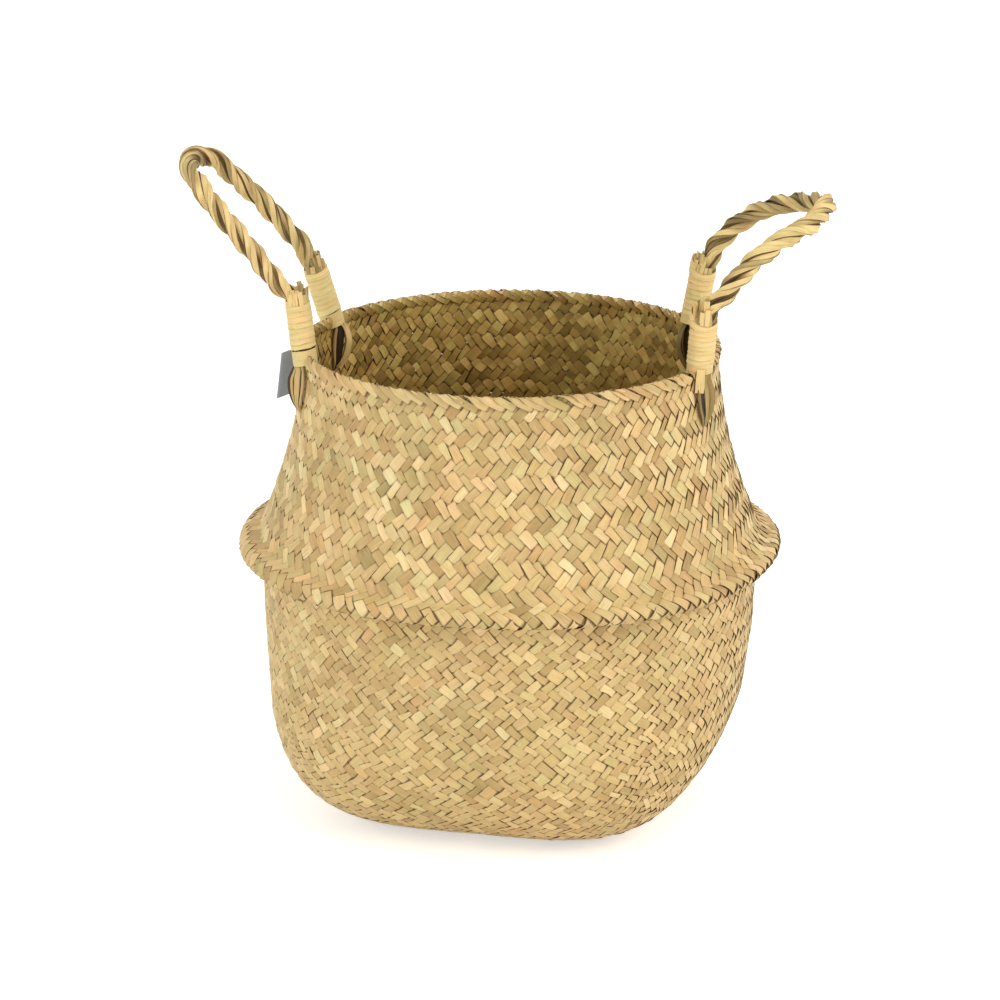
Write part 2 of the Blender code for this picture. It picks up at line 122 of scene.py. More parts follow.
# Handles
FOOT_DROP = 0.009
BINDING_START = 0.0115
BINDING_LENGTH = 0.027
BINDING_RADII = {"left": 0.0066, "right": 0.0070}
BINDING_DIP = 0.0052
FRONT_TOP_LESS = 0.0035
STRIP_THICKNESS = 0.0004
LASHING_START = {"left": 0.0036, "right": 0.0070}
LASHING_TOP = 0.0118
LASHING_PITCH = 0.0024
HANDLE_HEIGHT = 0.100
STRAIGHT_SHARES = (0, 0.5, 0.92, 1.04)
PLIES = 3
PLY_MIDDLE = 0.00205
ROPE_MIDDLE = 0.0028
ROPE_ASIDE = 0.0026
ROPE_LAY = 0.048
ROUTE_SPACING = 0.0030
HANDLES = {
    "left": {
        "bearing": 171.75 * DEGREE,
        "half_angle": 21.75 * DEGREE,
        "leans": {-1: (16 * DEGREE, 5 * DEGREE), 1: (7 * DEGREE, 3 * DEGREE)},
        "route_shares": (
            *((0.160, 0.465, 0.902), (0.267, 0.597, 0.884), (0.394, 0.744, 0.842), (0.520, 0.872, 0.727)),
            *((0.627, 0.990, 0.564), (0.685, 1.028, 0.306), (0.699, 1.044, 0.0)),
        ),
    },
    "right": {
        "bearing": -0.3 * DEGREE,
        "half_angle": 27 * DEGREE,
        "leans": {-1: (4 * DEGREE, -3 * DEGREE), 1: (10 * DEGREE, 2 * DEGREE)},
        "route_shares": (
            *((0.144, 0.506, 1.036), (0.248, 0.624, 0.977), (0.365, 0.711, 0.877), (0.475, 0.767, 0.722)),
            *((0.590, 0.803, 0.529), (0.652, 0.832, 0.278), (0.693, 0.849, 0.0)),
        ),
    },
}
FEET = {("left", -1): "back", ("left", 1): "front", ("right", -1): "front", ("right", 1): "back"}

# Cut ends above each winding
CUT_ENDS = 19
CUT_ENDS_IN_LAYER = 10
CUT_LAYER_STEP = 0.0017


# Straws of each foot's loops, by side, end and way (1 outside the wall, -1 inside it). For each: how
# far it bows out and aside in mm, its width in mm, its tone and the turn of its broad side in degrees


def behind_rim(tone, turn):
    """The straws inside the rim at a front foot, which mostly hide behind it."""
    before = (0.6, -4.2, 2.6, 0.60, 0), (1.4, -1.8, 2.4, 0.10, 0)
    return *before, (3.0, 0.4, 3.0, tone, turn), (1.2, 2.6, 2.2, 0.20, 0), (0.6, 4.6, 2.6, 0.62, 0)


def behind_basket(tone, turn):
    """The straws outside the wall at a back foot."""
    before = (0.6, -4.4, 2.6, 0.66, 0), (1.6, -2.0, 2.2, 0.08, 0)
    return *before, (3.4, 0.0, 3.4, tone, turn), (1.4, 2.4, 2.0, 0.12, 0), (0.6, 4.6, 2.6, 0.60, 0)


LOOP_THICKNESS = 0.0007
LOOP_INSET = 0.003
LOOP_STANDOFF = 0.0022
# Tones near 0 give near-black straws laid in each foot's slot: partly dark straws, partly painted shade of the
# slot.
LOOPS = {
    ("left", 1, 1): (
        *((6.4, 0.0, 1.9, 0.12, 55), (5.2, 0.8, 1.7, 0.80, 70), (4.2, 1.4, 1.3, 0.05, 80)),
        *((2.2, 2.4, 4.2, 0.86, 75), (0.9, 4.0, 1.6, 0.03, 30), (0.5, 5.6, 2.4, 0.70, 8)),
        (0.3, -2.0, 2.6, 0.55, 0),
    ),
    ("left", 1, -1): behind_rim(0.75, 25),
    ("left", -1, 1): behind_basket(0.82, -20),
    ("left", -1, -1): (
        *((0.3, 3.6, 3.0, 0.58, 0), (0.6, 0.8, 3.8, 0.00, 0), (1.8, 0.0, 3.0, 0.02, 30)),
        *((4.6, -1.2, 1.7, 0.40, 60), (6.0, -1.8, 3.0, 0.88, 40)),
    ),
    ("right", -1, 1): (
        *((0.7, -6.0, 2.4, 0.45, 0), (0.5, -3.4, 1.8, 0.05, 0), (0.5, -1.4, 2.4, 0.00, 0)),
        *((2.6, 0.6, 3.6, 0.60, -35), (4.6, 2.0, 2.6, 0.48, -50), (1.0, 4.0, 2.4, 0.10, 0)),
    ),
    ("right", -1, -1): behind_rim(0.70, -25),
    ("right", 1, 1): behind_basket(0.78, 20),
    ("right", 1, -1): (
        *((0.4, 3.2, 3.0, 0.42, 0), (0.8, 1.0, 3.6, 0.00, 0), (2.4, 0.2, 2.6, 0.03, -20)),
        *((3.8, 0.0, 1.8, 0.42, -50), (5.0, -0.4, 1.6, 0.05, -60), (6.2, -0.8, 2.6, 0.38, -40)),
    ),
}
SLOT_DROP = 0.029

# Label
LABEL_HEIGHT = 0.024
LABEL_REACH = 0.0125
LABEL_FOLD = 0.002
LABEL_THICKNESS = 0.00045
LABEL_DROP = 0.0002
LABEL_ANGLE = 185.5 * DEGREE
THREAD_SPACING = 0.0006

# Camera, as the photograph was taken
CAMERA_TARGET = Vector((0, 0, 0.135))
CAMERA_DISTANCE = 2.0
CAMERA_ELEVATION = 18.5 * DEGREE
CAMERA_LENS = 130.5
CAMERA_RAISED = 0.953 * DEGREE
CAMERA_SWUNG = 0.163 * DEGREE
FLOOR_REACH = 14.0
FLOOR_GLOW = 0.5


def linear(red, green, blue):
    """A colour as the eye reads it, 0 to 255, as the shader's own numbers."""
    parts = (red / 255, green / 255, blue / 255)
    return tuple(part / 12.92 if part <= 0.04045 else ((part + 0.055) / 1.055) ** 2.4 for part in parts)


# Settings


class WeaveSettings(bpy.types.PropertyGroup):
    straws: bpy.props.IntProperty(
        name="Straws each way", description="Straws that lean each way", default=120, min=48, max=160
    )
    thickness: bpy.props.FloatProperty(
        name="Thickness", description="Thickness of a flat straw", default=0.00042, unit="LENGTH", precision=5
    )
    wave: bpy.props.FloatProperty(
        name="Wave", description="How high a straw rises", default=0.00034, unit="LENGTH", precision=5
    )
    width_share: bpy.props.FloatProperty(
        name="Straw width", description="Share of its room that a straw fills", default=1.02, min=0.5, max=1.2
    )
    unevenness: bpy.props.FloatProperty(
        name="Unevenness", description="How far edges stray, in straws' widths", default=1.15, min=0, max=2
    )
    seed: bpy.props.IntProperty(name="Seed", description="Which straw is wide, narrow, pale or dark", default=7)


class HandleSettings(bpy.types.PropertyGroup):
    straws_per_ply: bpy.props.IntProperty(
        name="Straws in a ply", description="Flat straws in each of the three plies", default=5, min=4, max=9
    )
    binding_loops: bpy.props.FloatProperty(
        name="Binding loops", description="Turns of the pale strip round each foot", default=8.3, min=3, max=12
    )


class LabelSettings(bpy.types.PropertyGroup):
    colour: bpy.props.FloatVectorProperty(
        name="Colour", description="Colour of the bare tape", default=linear(160, 164, 168), subtype="COLOR"
    )


class StageSettings(bpy.types.PropertyGroup):
    lamp_power: bpy.props.FloatProperty(
        name="Lamp power", description="Power of the large soft lamp", default=26.0, min=0, unit="POWER"
    )
    sky: bpy.props.FloatProperty(
        name="Sky", description="Strength of the even light from all round", default=0.72, min=0, max=2
    )


# Node trees


def forward(operation):
    return lambda wire, other: wire.board.sum_of(operation, wire, other)


def reflected(operation):
    return lambda wire, other: wire.board.sum_of(operation, other, wire)


class Wire:
    """A socket that takes part in sums as a number does, each of which adds its Math node."""

    def __init__(self, board, socket):
        self.board, self.socket = board, socket

    __add__, __radd__ = forward("ADD"), reflected("ADD")
    __sub__, __rsub__ = forward("SUBTRACT"), reflected("SUBTRACT")
    __mul__, __rmul__ = forward("MULTIPLY"), reflected("MULTIPLY")
    __truediv__, __rtruediv__ = forward("DIVIDE"), reflected("DIVIDE")
    __mod__, __rmod__ = forward("FLOORED_MODULO"), reflected("FLOORED_MODULO")

    def __neg__(self):
        return self * -1.0

    def __abs__(self):
        return self.board.sum_of("ABSOLUTE", self)

    def cos(self):
        return self.board.sum_of("COSINE", self)

    def sin(self):
        return self.board.sum_of("SINE", self)

    def most(self, other):
        return self.board.sum_of("MAXIMUM", self, other)

    def clamp(self, low, high):
        return self.board.place("ShaderNodeClamp", None, {"Value": self, "Min": low, "Max": high})

    def step(self, low, high):
        """0 below low, 1 above high and smooth between them; the other way round if high is below low."""
        if low > high:
            return 1.0 - self.step(high, low)
        values = {"Value": self, "From Min": low, "From Max": high}
        return self.board.place("ShaderNodeMapRange", {"interpolation_type": "SMOOTHSTEP"}, values)


class Board:
    """A node tree and the ways to add to it."""

    def __init__(self, tree):
        self.tree = tree

    def pin(self, pins, key):
        if isinstance(key, int):
            return pins[key]
        return next(pin for pin in pins if pin.name == key and pin.enabled)

    def feed(self, node, values):
        """Gives sockets, by name or number, their values or links."""
        for key, value in values.items():
            socket = self.pin(node.inputs, key)
            if isinstance(value, Wire):
                self.tree.links.new(value.socket, socket)
            else:
                socket.default_value = value

    def place(self, kind, settings=None, values=None, output=0):
        """Adds a node: its settings first, then the values or links of its sockets."""
        made = self.tree.nodes.new(kind)
        for name, value in (settings or {}).items():
            if name == "stops":
                self.set_stops(made.color_ramp, value)
            else:
                setattr(made, name, value)
        self.feed(made, values or {})
        return Wire(self, self.pin(made.outputs, output))

    def set_stops(self, ramp, stops):
        while len(ramp.elements) < len(stops):
            ramp.elements.new(1.0)
        for element, (position, colour) in zip(ramp.elements, stops):
            element.position = position
            element.color = (*colour, 1)

    def sum_of(self, operation, *values):
        return self.place("ShaderNodeMath", {"operation": operation}, dict(enumerate(values)))

    def vector(self, operation, *values):
        output = "Value" if operation == "DOT_PRODUCT" else "Vector"
        return self.place("ShaderNodeVectorMath", {"operation": operation}, dict(enumerate(values)), output)

    def scaled(self, vector, scale):
        return self.place("ShaderNodeVectorMath", {"operation": "SCALE"}, {0: vector, "Scale": scale}, "Vector")

    def moved(self, place, *shifts):
        """A place moved along each direction by its distance."""
        for direction, distance in shifts:
            place = self.vector("ADD", place, self.scaled(direction, distance))
        return place

    def round(self, first, second, angle):
        """The direction at an angle from the first one towards the second."""
        return self.moved(self.scaled(first, angle.cos()), (second, angle.sin()))

    def join(self, x, y, z=0.0):
        return self.place("ShaderNodeCombineXYZ", None, {0: x, 1: y, 2: z})

    def split(self, vector):
        first = self.place("ShaderNodeSeparateXYZ", None, {0: vector})
        return [Wire(self, pin) for pin in first.socket.node.outputs]

    def noise(self, *place, detail=1.0, scale=1.0):
        """Noise at a place, given as one vector or as coordinates."""
        vector = self.join(*place) if len(place) > 1 else place[0]
        return self.place("ShaderNodeTexNoise", None, {"Vector": vector, "Scale": scale, "Detail": detail})

    def blend(self, factor, first, second, kind="MIX"):
        settings = {"data_type": "RGBA", "blend_type": kind}
        return self.place("ShaderNodeMix", settings, {"Factor": factor, "A": first, "B": second}, "Result")

    def bump(self, height, strength, distance):
        values = {"Strength": strength, "Distance": distance, "Height": height}
        return self.place("ShaderNodeBump", None, values, "Normal")

    def attribute(self, name, output):
        return self.place("ShaderNodeAttribute", {"attribute_name": name}, None, output)

    def named(self, name, kind):
        """An attribute that a geometry tree reads."""
        return self.place("GeometryNodeInputNamedAttribute", {"data_type": kind}, {"Name": name}, "Attribute")

    def stored(self, geometry, name, value, kind="FLOAT", domain="POINT"):
        values = {"Geometry": geometry, "Name": name, "Value": value}
        return self.place("GeometryNodeStoreNamedAttribute", {"data_type": kind, "domain": domain}, values)

    def random(self, number, seed):
        values = {"Min": 0.0, "Max": 1.0, "ID": number, "Seed": seed}
        return self.place("FunctionNodeRandomValue", {"data_type": "FLOAT"}, values, "Value")


def new_tree(name, whole_numbers, numbers):
    """A geometry node tree with named inputs: its board and the inputs by name."""
    tree = bpy.data.node_groups.new(name, "GeometryNodeTree")
    for way in ("INPUT", "OUTPUT"):
        tree.interface.new_socket("Geometry", in_out=way, socket_type="NodeSocketGeometry")
    kinds = {"Int": (*whole_numbers, "Segments", "Seed"), "Float": numbers, "Material": ("Material",)}
    for kind, titles in kinds.items():
        for title in titles:
            tree.interface.new_socket(title, in_out="INPUT", socket_type="NodeSocket" + kind)
    board = Board(tree)
    entry = tree.nodes.new("NodeGroupInput")
    return board, {pin.name: Wire(board, pin) for pin in entry.outputs if pin.name}


def shown(name, data):
    """A new object for this data, linked to the scene."""
    made = bpy.data.objects.new(name, data)
    bpy.context.scene.collection.objects.link(made)
    return made


def grown(name, guide, tree, values):
    """The tree's result on the guide mesh, as a plain mesh object at the origin."""
    host = shown(name + "_guide", guide)
    modifier = host.modifiers.new("Straws", "NODES")
    modifier.node_group = tree
    for item in tree.interface.items_tree:
        if item.in_out == "INPUT" and item.name in values:
            modifier[item.identifier] = values[item.name]
    graph = bpy.context.evaluated_depsgraph_get()
    made = host.evaluated_get(graph)
    mesh = bpy.data.meshes.new_from_object(made, preserve_all_data_layers=True, depsgraph=graph)
    if len(mesh.vertices) == 0:
        raise RuntimeError(f"{name} came out empty")
    host.modifiers.remove(modifier)
    bpy.data.objects.remove(host, do_unlink=True)
    mesh.name = name
    return shown(name, mesh)


def keep_on_points(mesh, name, values):
    """Stores a number or a vector on each point of a mesh."""
    values = np.array(values, np.float32)
    kind, key = ("FLOAT_VECTOR", "vector") if values.ndim > 1 else ("FLOAT", "value")
    mesh.attributes.new(name, kind, "POINT").data.foreach_set(key, values.ravel())


def guide_mesh(name, patches):
    """A mesh of grids for straws to follow. Each patch is (points, uv, step round, step along)."""
    faces, start = [], 0
    for place, *_ in patches:
        lines, columns = place.shape[:2]
        index = start + np.arange(lines * columns).reshape(lines, columns)
        corners = (index[:-1, :-1], index[:-1, 1:], index[1:, 1:], index[1:, :-1])
        faces.append(np.stack(corners, -1).reshape(-1, 4))
        start += lines * columns
    faces = np.concatenate(faces)
    parts = (np.concatenate([part.reshape(-1, part.shape[-1]) for part in like]) for like in zip(*patches))
    points, uvs, round_steps, row_steps = parts
    mesh = bpy.data.meshes.new(name)
    mesh.from_pydata(points.tolist(), [], faces.tolist())
    keep_on_points(mesh, "round_step", round_steps)
    keep_on_points(mesh, "row_step", row_steps)
    layer = mesh.uv_layers.new(name="guide_uv")
    layer.data.foreach_set("uv", uvs[faces.ravel()].astype(np.float32).ravel())
    return mesh


def sampled(board, pins, u, v):
    """The guide's place, step round and step along at a place on its map."""
    settings = {"data_type": "FLOAT_VECTOR"}
    steps = [board.named(title, "FLOAT_VECTOR") for title in ("round_step", "row_step")]
    on_map = board.named("guide_uv", "FLOAT_VECTOR")
    inputs = {"Mesh": pins["Geometry"], "UV Map": on_map, "Sample UV": board.join(u, v)}
    return [
        board.place("GeometryNodeSampleUVSurface", settings, {**inputs, "Value": value}, "Value")
        for value in (board.place("GeometryNodeInputPosition"), *steps)
    ]


def straw_copies(board, pins, count):
    """Plain straws on one spot, and each point's straw, its place across, outwards and along it."""
    sizes = {"Vertices": 4, "Side Segments": pins["Segments"], "Radius": 1.0, "Depth": 1.0}
    tube = board.place("GeometryNodeMeshCylinder", {"fill_type": "NGON"}, sizes, "Mesh")
    ends = board.place("GeometryNodeInputMeshEdgeVertices").socket.node.outputs
    run = board.vector("SUBTRACT", *(Wire(board, ends[title]) for title in ("Position 1", "Position 2")))
    lengthwise = abs(board.split(run)[2])
    tube = board.place("GeometryNodeSetShadeSmooth", {"domain": "EDGE"}, {0: tube, 1: lengthwise, 2: False})
    spots = board.place("GeometryNodeMeshLine", None, {"Count": count, "Offset": (0, 0, 0)})
    copies = board.place("GeometryNodeInstanceOnPoints", None, {"Points": spots, "Instance": tube})
    numbered = board.stored(copies, "number", board.place("GeometryNodeInputIndex"), "FLOAT", "INSTANCE")
    whole = board.place("GeometryNodeRealizeInstances", None, {"Geometry": numbered})
    x, y, z = board.split(board.place("GeometryNodeInputPosition"))
    return whole, board.named("number", "FLOAT"), x - y, x + y, z + 0.5


def straw_frame(board, round_step, row_step, slope):
    """A straw's side, the normal and the room round it; slope is its steps round for each step up."""
    along = board.vector("NORMALIZE", board.moved(row_step, (round_step, slope)))
    normal = board.vector("NORMALIZE", board.vector("CROSS_PRODUCT", round_step, row_step))
    side = board.vector("CROSS_PRODUCT", normal, along)
    return side, normal, abs(board.vector("DOT_PRODUCT", round_step, side))


def finished_straws(board, pins, whole, place, run, **marks):
    """Stores what the finish reads, puts every point in its place, smooths the sides and sets the finish."""
    whole = board.stored(whole, "run", run, "FLOAT_VECTOR")
    for name, value in marks.items():
        whole = board.stored(whole, name, value)
    put = board.place("GeometryNodeSetPosition", None, {"Geometry": whole, "Position": place})
    smooth = board.place("GeometryNodeSetShadeSmooth", None, {"Geometry": put, "Shade Smooth": True})
    real = board.place("GeometryNodeRealizeInstances", None, {"Geometry": smooth})
    dressed = board.place("GeometryNodeSetMaterial", None, {"Geometry": real, "Material": pins["Material"]})
    board.feed(board.tree.nodes.new("NodeGroupOutput"), {0: dressed})
    return board.tree


def weave_tree(name, lean, on_square):
    """Straws that lean one way over a guide, going over two of the other way and under two."""
    rows = ("First row", "Last row", "Guide first row", "Guide last row", "Tuck row", "Tuck depth")
    shapes = ("Width share", "Thickness", "Wave", "Wave phase", "Unevenness")
    board, pins = new_tree(name, ("Straws", "Crossed seed"), rows + shapes)
    whole, number, across, out, share = straw_copies(board, pins, pins["Straws"])
    first = pins["First row"]
    if on_square:
        side_count = pins["Straws"] / BASE_SIDES
        along_side = number % side_count
        first = -along_side if lean > 0 else along_side - side_count
    row = first + (pins["Last row"] - first) * share
    seed, crossed_seed = pins["Seed"] * 3.17, pins["Crossed seed"] * 3.17

    def edge_places(straw, seed):
        """Where the edges that a straw shares with the next ones stray to."""
        edges = [straw - 0.5, straw + 0.5]
        strayed = [board.noise((edge % pins["Straws"]) * 1.31, row * 0.22, seed) - 0.5 for edge in edges]
        return [edge + part * pins["Unevenness"] for edge, part in zip(edges, strayed)]

    low, high = edge_places(number, seed)
    middle = (low + high) * 0.5
    crossed = middle + row * (2 * lean)
    nearest = board.sum_of("ROUND", crossed)
    crossed_low, crossed_high = edge_places(nearest, crossed_seed)
    level = nearest - 0.5 + (crossed - crossed_low) / (crossed_high - crossed_low)
    laid = (level - number) * (2 * lean) - pins["Wave phase"]
    u = (((middle + row * lean) / pins["Straws"]) % 1.0).clamp(0.00001, 0.99999)
    v = (row - pins["Guide first row"]) / (pins["Guide last row"] - pins["Guide first row"])
    place, round_step, row_step = sampled(board, pins, u, v.clamp(0.0001, 0.9999))
    side, normal, room = straw_frame(board, round_step, row_step, lean)
    half = room * (high - low) * pins["Width share"] * 0.5
    lift = (laid * (math.pi / 2)).cos()
    for _ in range(3):
        lift = lift * (1.5 - 0.5 * lift * lift)
    crossing = board.join(number, board.sum_of("FLOOR", (laid + 2.0) / 4.0) + seed)
    own = board.place("ShaderNodeTexWhiteNoise", {"noise_dimensions": "2D"}, {"Vector": crossing}, "Value")
    loose = board.noise(number * 7.31, row * 0.25, seed)
    height = pins["Wave"] * lift + (loose - 0.5) * pins["Wave"] * 0.9
    if on_square:
        height = height * (row - first).step(0.0, 0.9)
    tuck = (row - pins["Tuck row"]).step(0.0, 1.0)
    height = height * (1.0 - tuck) - tuck * pins["Tuck depth"]
    tilt = board.noise(number * 3.71 + 90.0, row * 0.25, seed) - 0.5
    rise = height + out * pins["Thickness"] * 0.5 + across * pins["Wave"] * (0.5 + tilt * 2.5)
    place = board.moved(place, (side, across * half), (normal, rise))
    run = board.join(row * 0.0055, across, out)
    random = board.random(number, pins["Seed"])
    tone = random * 0.5 + own * 0.5
    # The stored lift also places the finish's painted shade where a straw dives under another.
    return finished_straws(board, pins, whole, place, run, straw=random, tone=tone, lift=lift)


def border_tree():
    """Wide straws folded slantwise over the rim, side by side."""
    board, pins = new_tree("Rim border", ("Straws",), ("Slant", "Width share", "Thickness", "Looseness"))
    whole, number, across, out, share = straw_copies(board, pins, pins["Straws"])
    seed = pins["Seed"] * 2.71
    slow = board.noise(number * 6.1, share * 1.2, seed)
    other = board.noise(number * 4.3 + 70.0, share * 1.4, seed)
    random = board.random(number, pins["Seed"])
    u = ((number - share * pins["Slant"] + (other - 0.5) * 1.3) / pins["Straws"]) % 1.0
    v = 0.16 * random + share * (1.0 - 0.16 * random)
    place, round_step, row_step = sampled(board, pins, u.clamp(0.00001, 0.99999), v.clamp(0.0005, 0.9995))
    side, normal, room = straw_frame(board, round_step, row_step, -(pins["Slant"] / pins["Straws"]))
    half = room / pins["Straws"] * pins["Width share"] * 0.5 * (0.86 + 0.16 * random) * (0.85 + 0.3 * slow)
    rise = ((slow - 0.5) * 0.6 + across * (0.25 + (other - 0.5) * 0.8)) * pins["Looseness"]
    place = board.moved(place, (side, across * half), (normal, rise + out * pins["Thickness"] * 0.5))
    facing = 1.0 - share.step(0.56, 0.66) * 2.0
    run = board.join(share * 0.018, across, facing)
    # lift is low at the straws' ends, where the finish paints shade as they tuck under.
    lift = (share.step(-0.02, 0.06) * share.step(1.02, 0.94) * 2.0 - 1.0) * facing
    return finished_straws(board, pins, whole, place, run, straw=random, tone=0.25 + 0.5 * random, lift=lift)


def rope_tree():
    """Plies of flat straws laid round one another along a guide ribbon."""
    sizes = ("Length", "Lay", "Rope middle", "Ply middle", "Straw width", "Straw thickness", "Looseness")
    board, pins = new_tree("Twisted rope", ("Straws",), sizes)
    whole, number, across, out, share = straw_copies(board, pins, pins["Straws"])
    seed = pins["Seed"] * 1.93
    ply = number % PLIES
    in_ply = board.sum_of("FLOOR", number / PLIES) / (pins["Straws"] / PLIES)
    travelled = share * pins["Length"]
    slow = board.noise(number * 6.7, travelled * 45.0, seed)
    other = board.noise(number * 2.9 + 50.0, travelled * 30.0, seed)
    place, first, along = sampled(board, pins, share.clamp(0.0001, 0.9999), 0.5)
    second = board.vector("CROSS_PRODUCT", along, first)
    laid = (ply / PLIES + travelled / pins["Lay"]) * math.tau
    own = in_ply * math.tau + laid + travelled * 14.0 + (other - 0.5) * 1.3
    random = board.random(number, pins["Seed"])
    drawn_in = 0.7 + 0.3 * travelled.step(0.022, 0.042) * (pins["Length"] - travelled).step(0.022, 0.042)
    reach = pins["Ply middle"] * drawn_in + out * pins["Straw thickness"] * 0.5
    reach = reach + ((slow - 0.5) * 0.8 + across * 0.3) * pins["Looseness"]
    half = pins["Straw width"] * 0.5 * (0.75 + 0.4 * random) * drawn_in
    near = board.split(place)[1].step(0.02, -0.03)
    to_ply, outward, aside = (board.round(first, second, angle) for angle in (laid, own, own + math.pi / 2))
    place = board.moved(place, (to_ply, pins["Rope middle"] * drawn_in))
    place = board.moved(place, (outward, reach), (aside, -across * half))
    tone = random * 0.6 + board.noise(number * 9.1, travelled * 55.0, seed) * 1.3 - 0.62 + near * 0.2
    tone = tone + (board.noise(ply * 17.3, travelled * 42.0, seed) - 0.5) * 0.8
    run = board.join(travelled, across, 1.0)
    # The stored lift is low where a straw faces into the valley between plies, where the finish paints shade.
    return finished_straws(board, pins, whole, place, run, straw=random, tone=tone, lift=(own - laid).cos())


def binding_tree():
    """One flat strip wound round a foot, its top edge dipping to a point where it is asked to."""
    sizes = ("Length", "Loops", "Radius", "Thickness", "Overlap", "Looseness")
    board, pins = new_tree("Foot binding", (), sizes + ("Start angle", "Dip angle", "Dip"))
    whole, _, across, out, share = straw_copies(board, pins, 1)
    seed = pins["Seed"] * 4.41
    place, first, along = sampled(board, pins, 0.5, 0.5)
    second = board.vector("CROSS_PRODUCT", along, first)
    turns = share * pins["Loops"]
    angle = pins["Start angle"] + turns * math.tau
    pitch = pins["Length"] / (pins["Loops"] + 1.0)
    round_noise = board.noise(angle.cos() + seed, angle.sin(), turns * 1.7)
    slow = board.noise(turns * 1.3, seed, 3.0)
    half = pitch * 0.5 * pins["Overlap"] * (0.35 + 1.2 * slow)
    from_dip = angle - pins["Dip angle"]
    away = 0.5 - 0.5 * from_dip.cos()
    leaning = 0.5 - 0.5 * from_dip.sin()
    dip_share = (turns - pins["Loops"]).step(-2.6, -0.9)
    dip = pins["Dip"] * (away * 0.55 + away * leaning * 0.9) * dip_share
    level = pitch * (turns + 0.5) + across * half * (1.0 + dip_share * away * 0.5) + dip
    level = level + (round_noise - 0.5) * 1.2 * pins["Looseness"]
    untucked = share.step(0.0, 0.01) * share.step(1.0, 0.99)
    loose = (slow - 0.5) * 0.8 - across * 0.22 + (untucked - 1.0) * 1.2
    radius = pins["Radius"] + out * pins["Thickness"] * 0.5 + dip * 0.12 + loose * pins["Looseness"]
    place = board.moved(place, (board.round(first, second, angle), radius), (along, level))
    run = board.join(turns * 0.045, across, 1.0)
    return finished_straws(board, pins, whole, place, run, straw=0.5, tone=slow, lift=1.0)


# The shape that the weave follows


def outline_share(angle, height):
    """The rounded square's reach at this angle and height, as a share of its mean radius."""
    fade = np.maximum(0.0, 1 - height / SQUARE_HEIGHT) ** SQUARE_FADE_POWER
    power = 2 + (BASE_POWER - 2) * fade
    turned = angle - BASE_TURN
    reach = (np.abs(np.cos(turned)) ** power + np.abs(np.sin(turned)) ** power) ** (-1 / power)
    return reach / 2 ** (0.25 - 0.5 / power)


def upper_radius(height):
    """Outer radius of the wall between the lip and the rim, which curves in as it rises."""
    lip_radius = FOLD_RADIUS + LIP_REACH
    share = np.maximum(0.0, (HEIGHT - height) / (HEIGHT - FOLD_HEIGHT - LIP_RISE))
    return RIM_RADIUS + (lip_radius - RIM_RADIUS) * share**UPPER_CURVE_POWER


def arc_along(radius, height):
    """How far along its profile each point lies."""
    return np.concatenate(([0], np.cumsum(np.hypot(np.diff(radius), np.diff(height)))))


class WallProfile:
    """The middle of the wall from the floor's centre to the rim, and its arc at each row."""

    def __init__(self):
        half = WALL / 2
        turns = np.linspace(0, math.pi / 2, 80)[1:]
        heights = np.linspace(BASE_EDGE_HEIGHT, FOLD_HEIGHT, 40)[1:]
        climb = (heights - BASE_EDGE_HEIGHT) / (FOLD_HEIGHT - BASE_EDGE_HEIGHT)
        floor = np.linspace(0, BASE_FLAT_RADIUS, 40)
        edge = BASE_FLAT_RADIUS + (WAIST_RADIUS - BASE_FLAT_RADIUS) * np.sin(turns)
        radius = np.concatenate((floor, edge, WAIST_RADIUS + (FOLD_RADIUS - WAIST_RADIUS) * climb))
        height = np.concatenate((0 * floor, BASE_EDGE_HEIGHT * (1 - np.cos(turns)), heights))
        run = np.stack((np.gradient(radius), np.gradient(height)))
        run /= np.linalg.norm(run, axis=0)
        radius, height = radius - run[1] * half, height + run[0] * half
        waist, crease = len(floor) + len(turns) - 1, len(radius) - 1
        course = np.array(BELLY_COURSE) * MM
        upper = np.linspace(FOLD_HEIGHT + LIP_RISE + WALL, HEIGHT + WALL * 4, 160)
        radius = np.concatenate((radius, radius[crease] + course[:, 0], upper_radius(upper) - half))
        height = np.concatenate((height, height[crease] + course[:, 1], upper))
        arc = arc_along(radius, height)
        ridge = crease + 1 + int(np.argmax(course[:, 0]))
        marks = arc[[waist, crease, ridge, crease + len(course)]]
        rim = float(np.interp(HEIGHT - RIM_ROW_DROP, upper, arc[-len(upper) :]))
        self.arc = np.linspace(0, arc[-1], 2600)
        spread = np.linspace(-BEND_SOFTENING, BEND_SOFTENING, 9)
        self.radius = np.mean([np.interp(self.arc + part, arc, radius) for part in spread], axis=0)
        self.height = np.mean([np.interp(self.arc + part, arc, height) for part in spread], axis=0)
        self.rows = np.array([-4, 0, WAIST_ROW, CREASE_ROW, RIDGE_ROW, LIP_ROW, RIM_ROW, RIM_ROW + 4])
        self.arcs = [SQUARE_REACH - 4 * FLAT_ROW, SQUARE_REACH, *marks, rim, rim + 4 * RIM_ROW_HEIGHT]
        self.first_arc = float(self.row_arc(np.zeros(1))[0])

    def row_arc(self, row):
        """The arc along the profile at a row, softened so that rows change height slowly."""
        spread = np.linspace(-ROW_SOFTENING, ROW_SOFTENING, 9)
        return np.mean([np.interp(row + part, self.rows, self.arcs) for part in spread], axis=0)

    def at(self, arc):
        return np.interp(arc, self.arc, self.radius), np.interp(arc, self.arc, self.height)


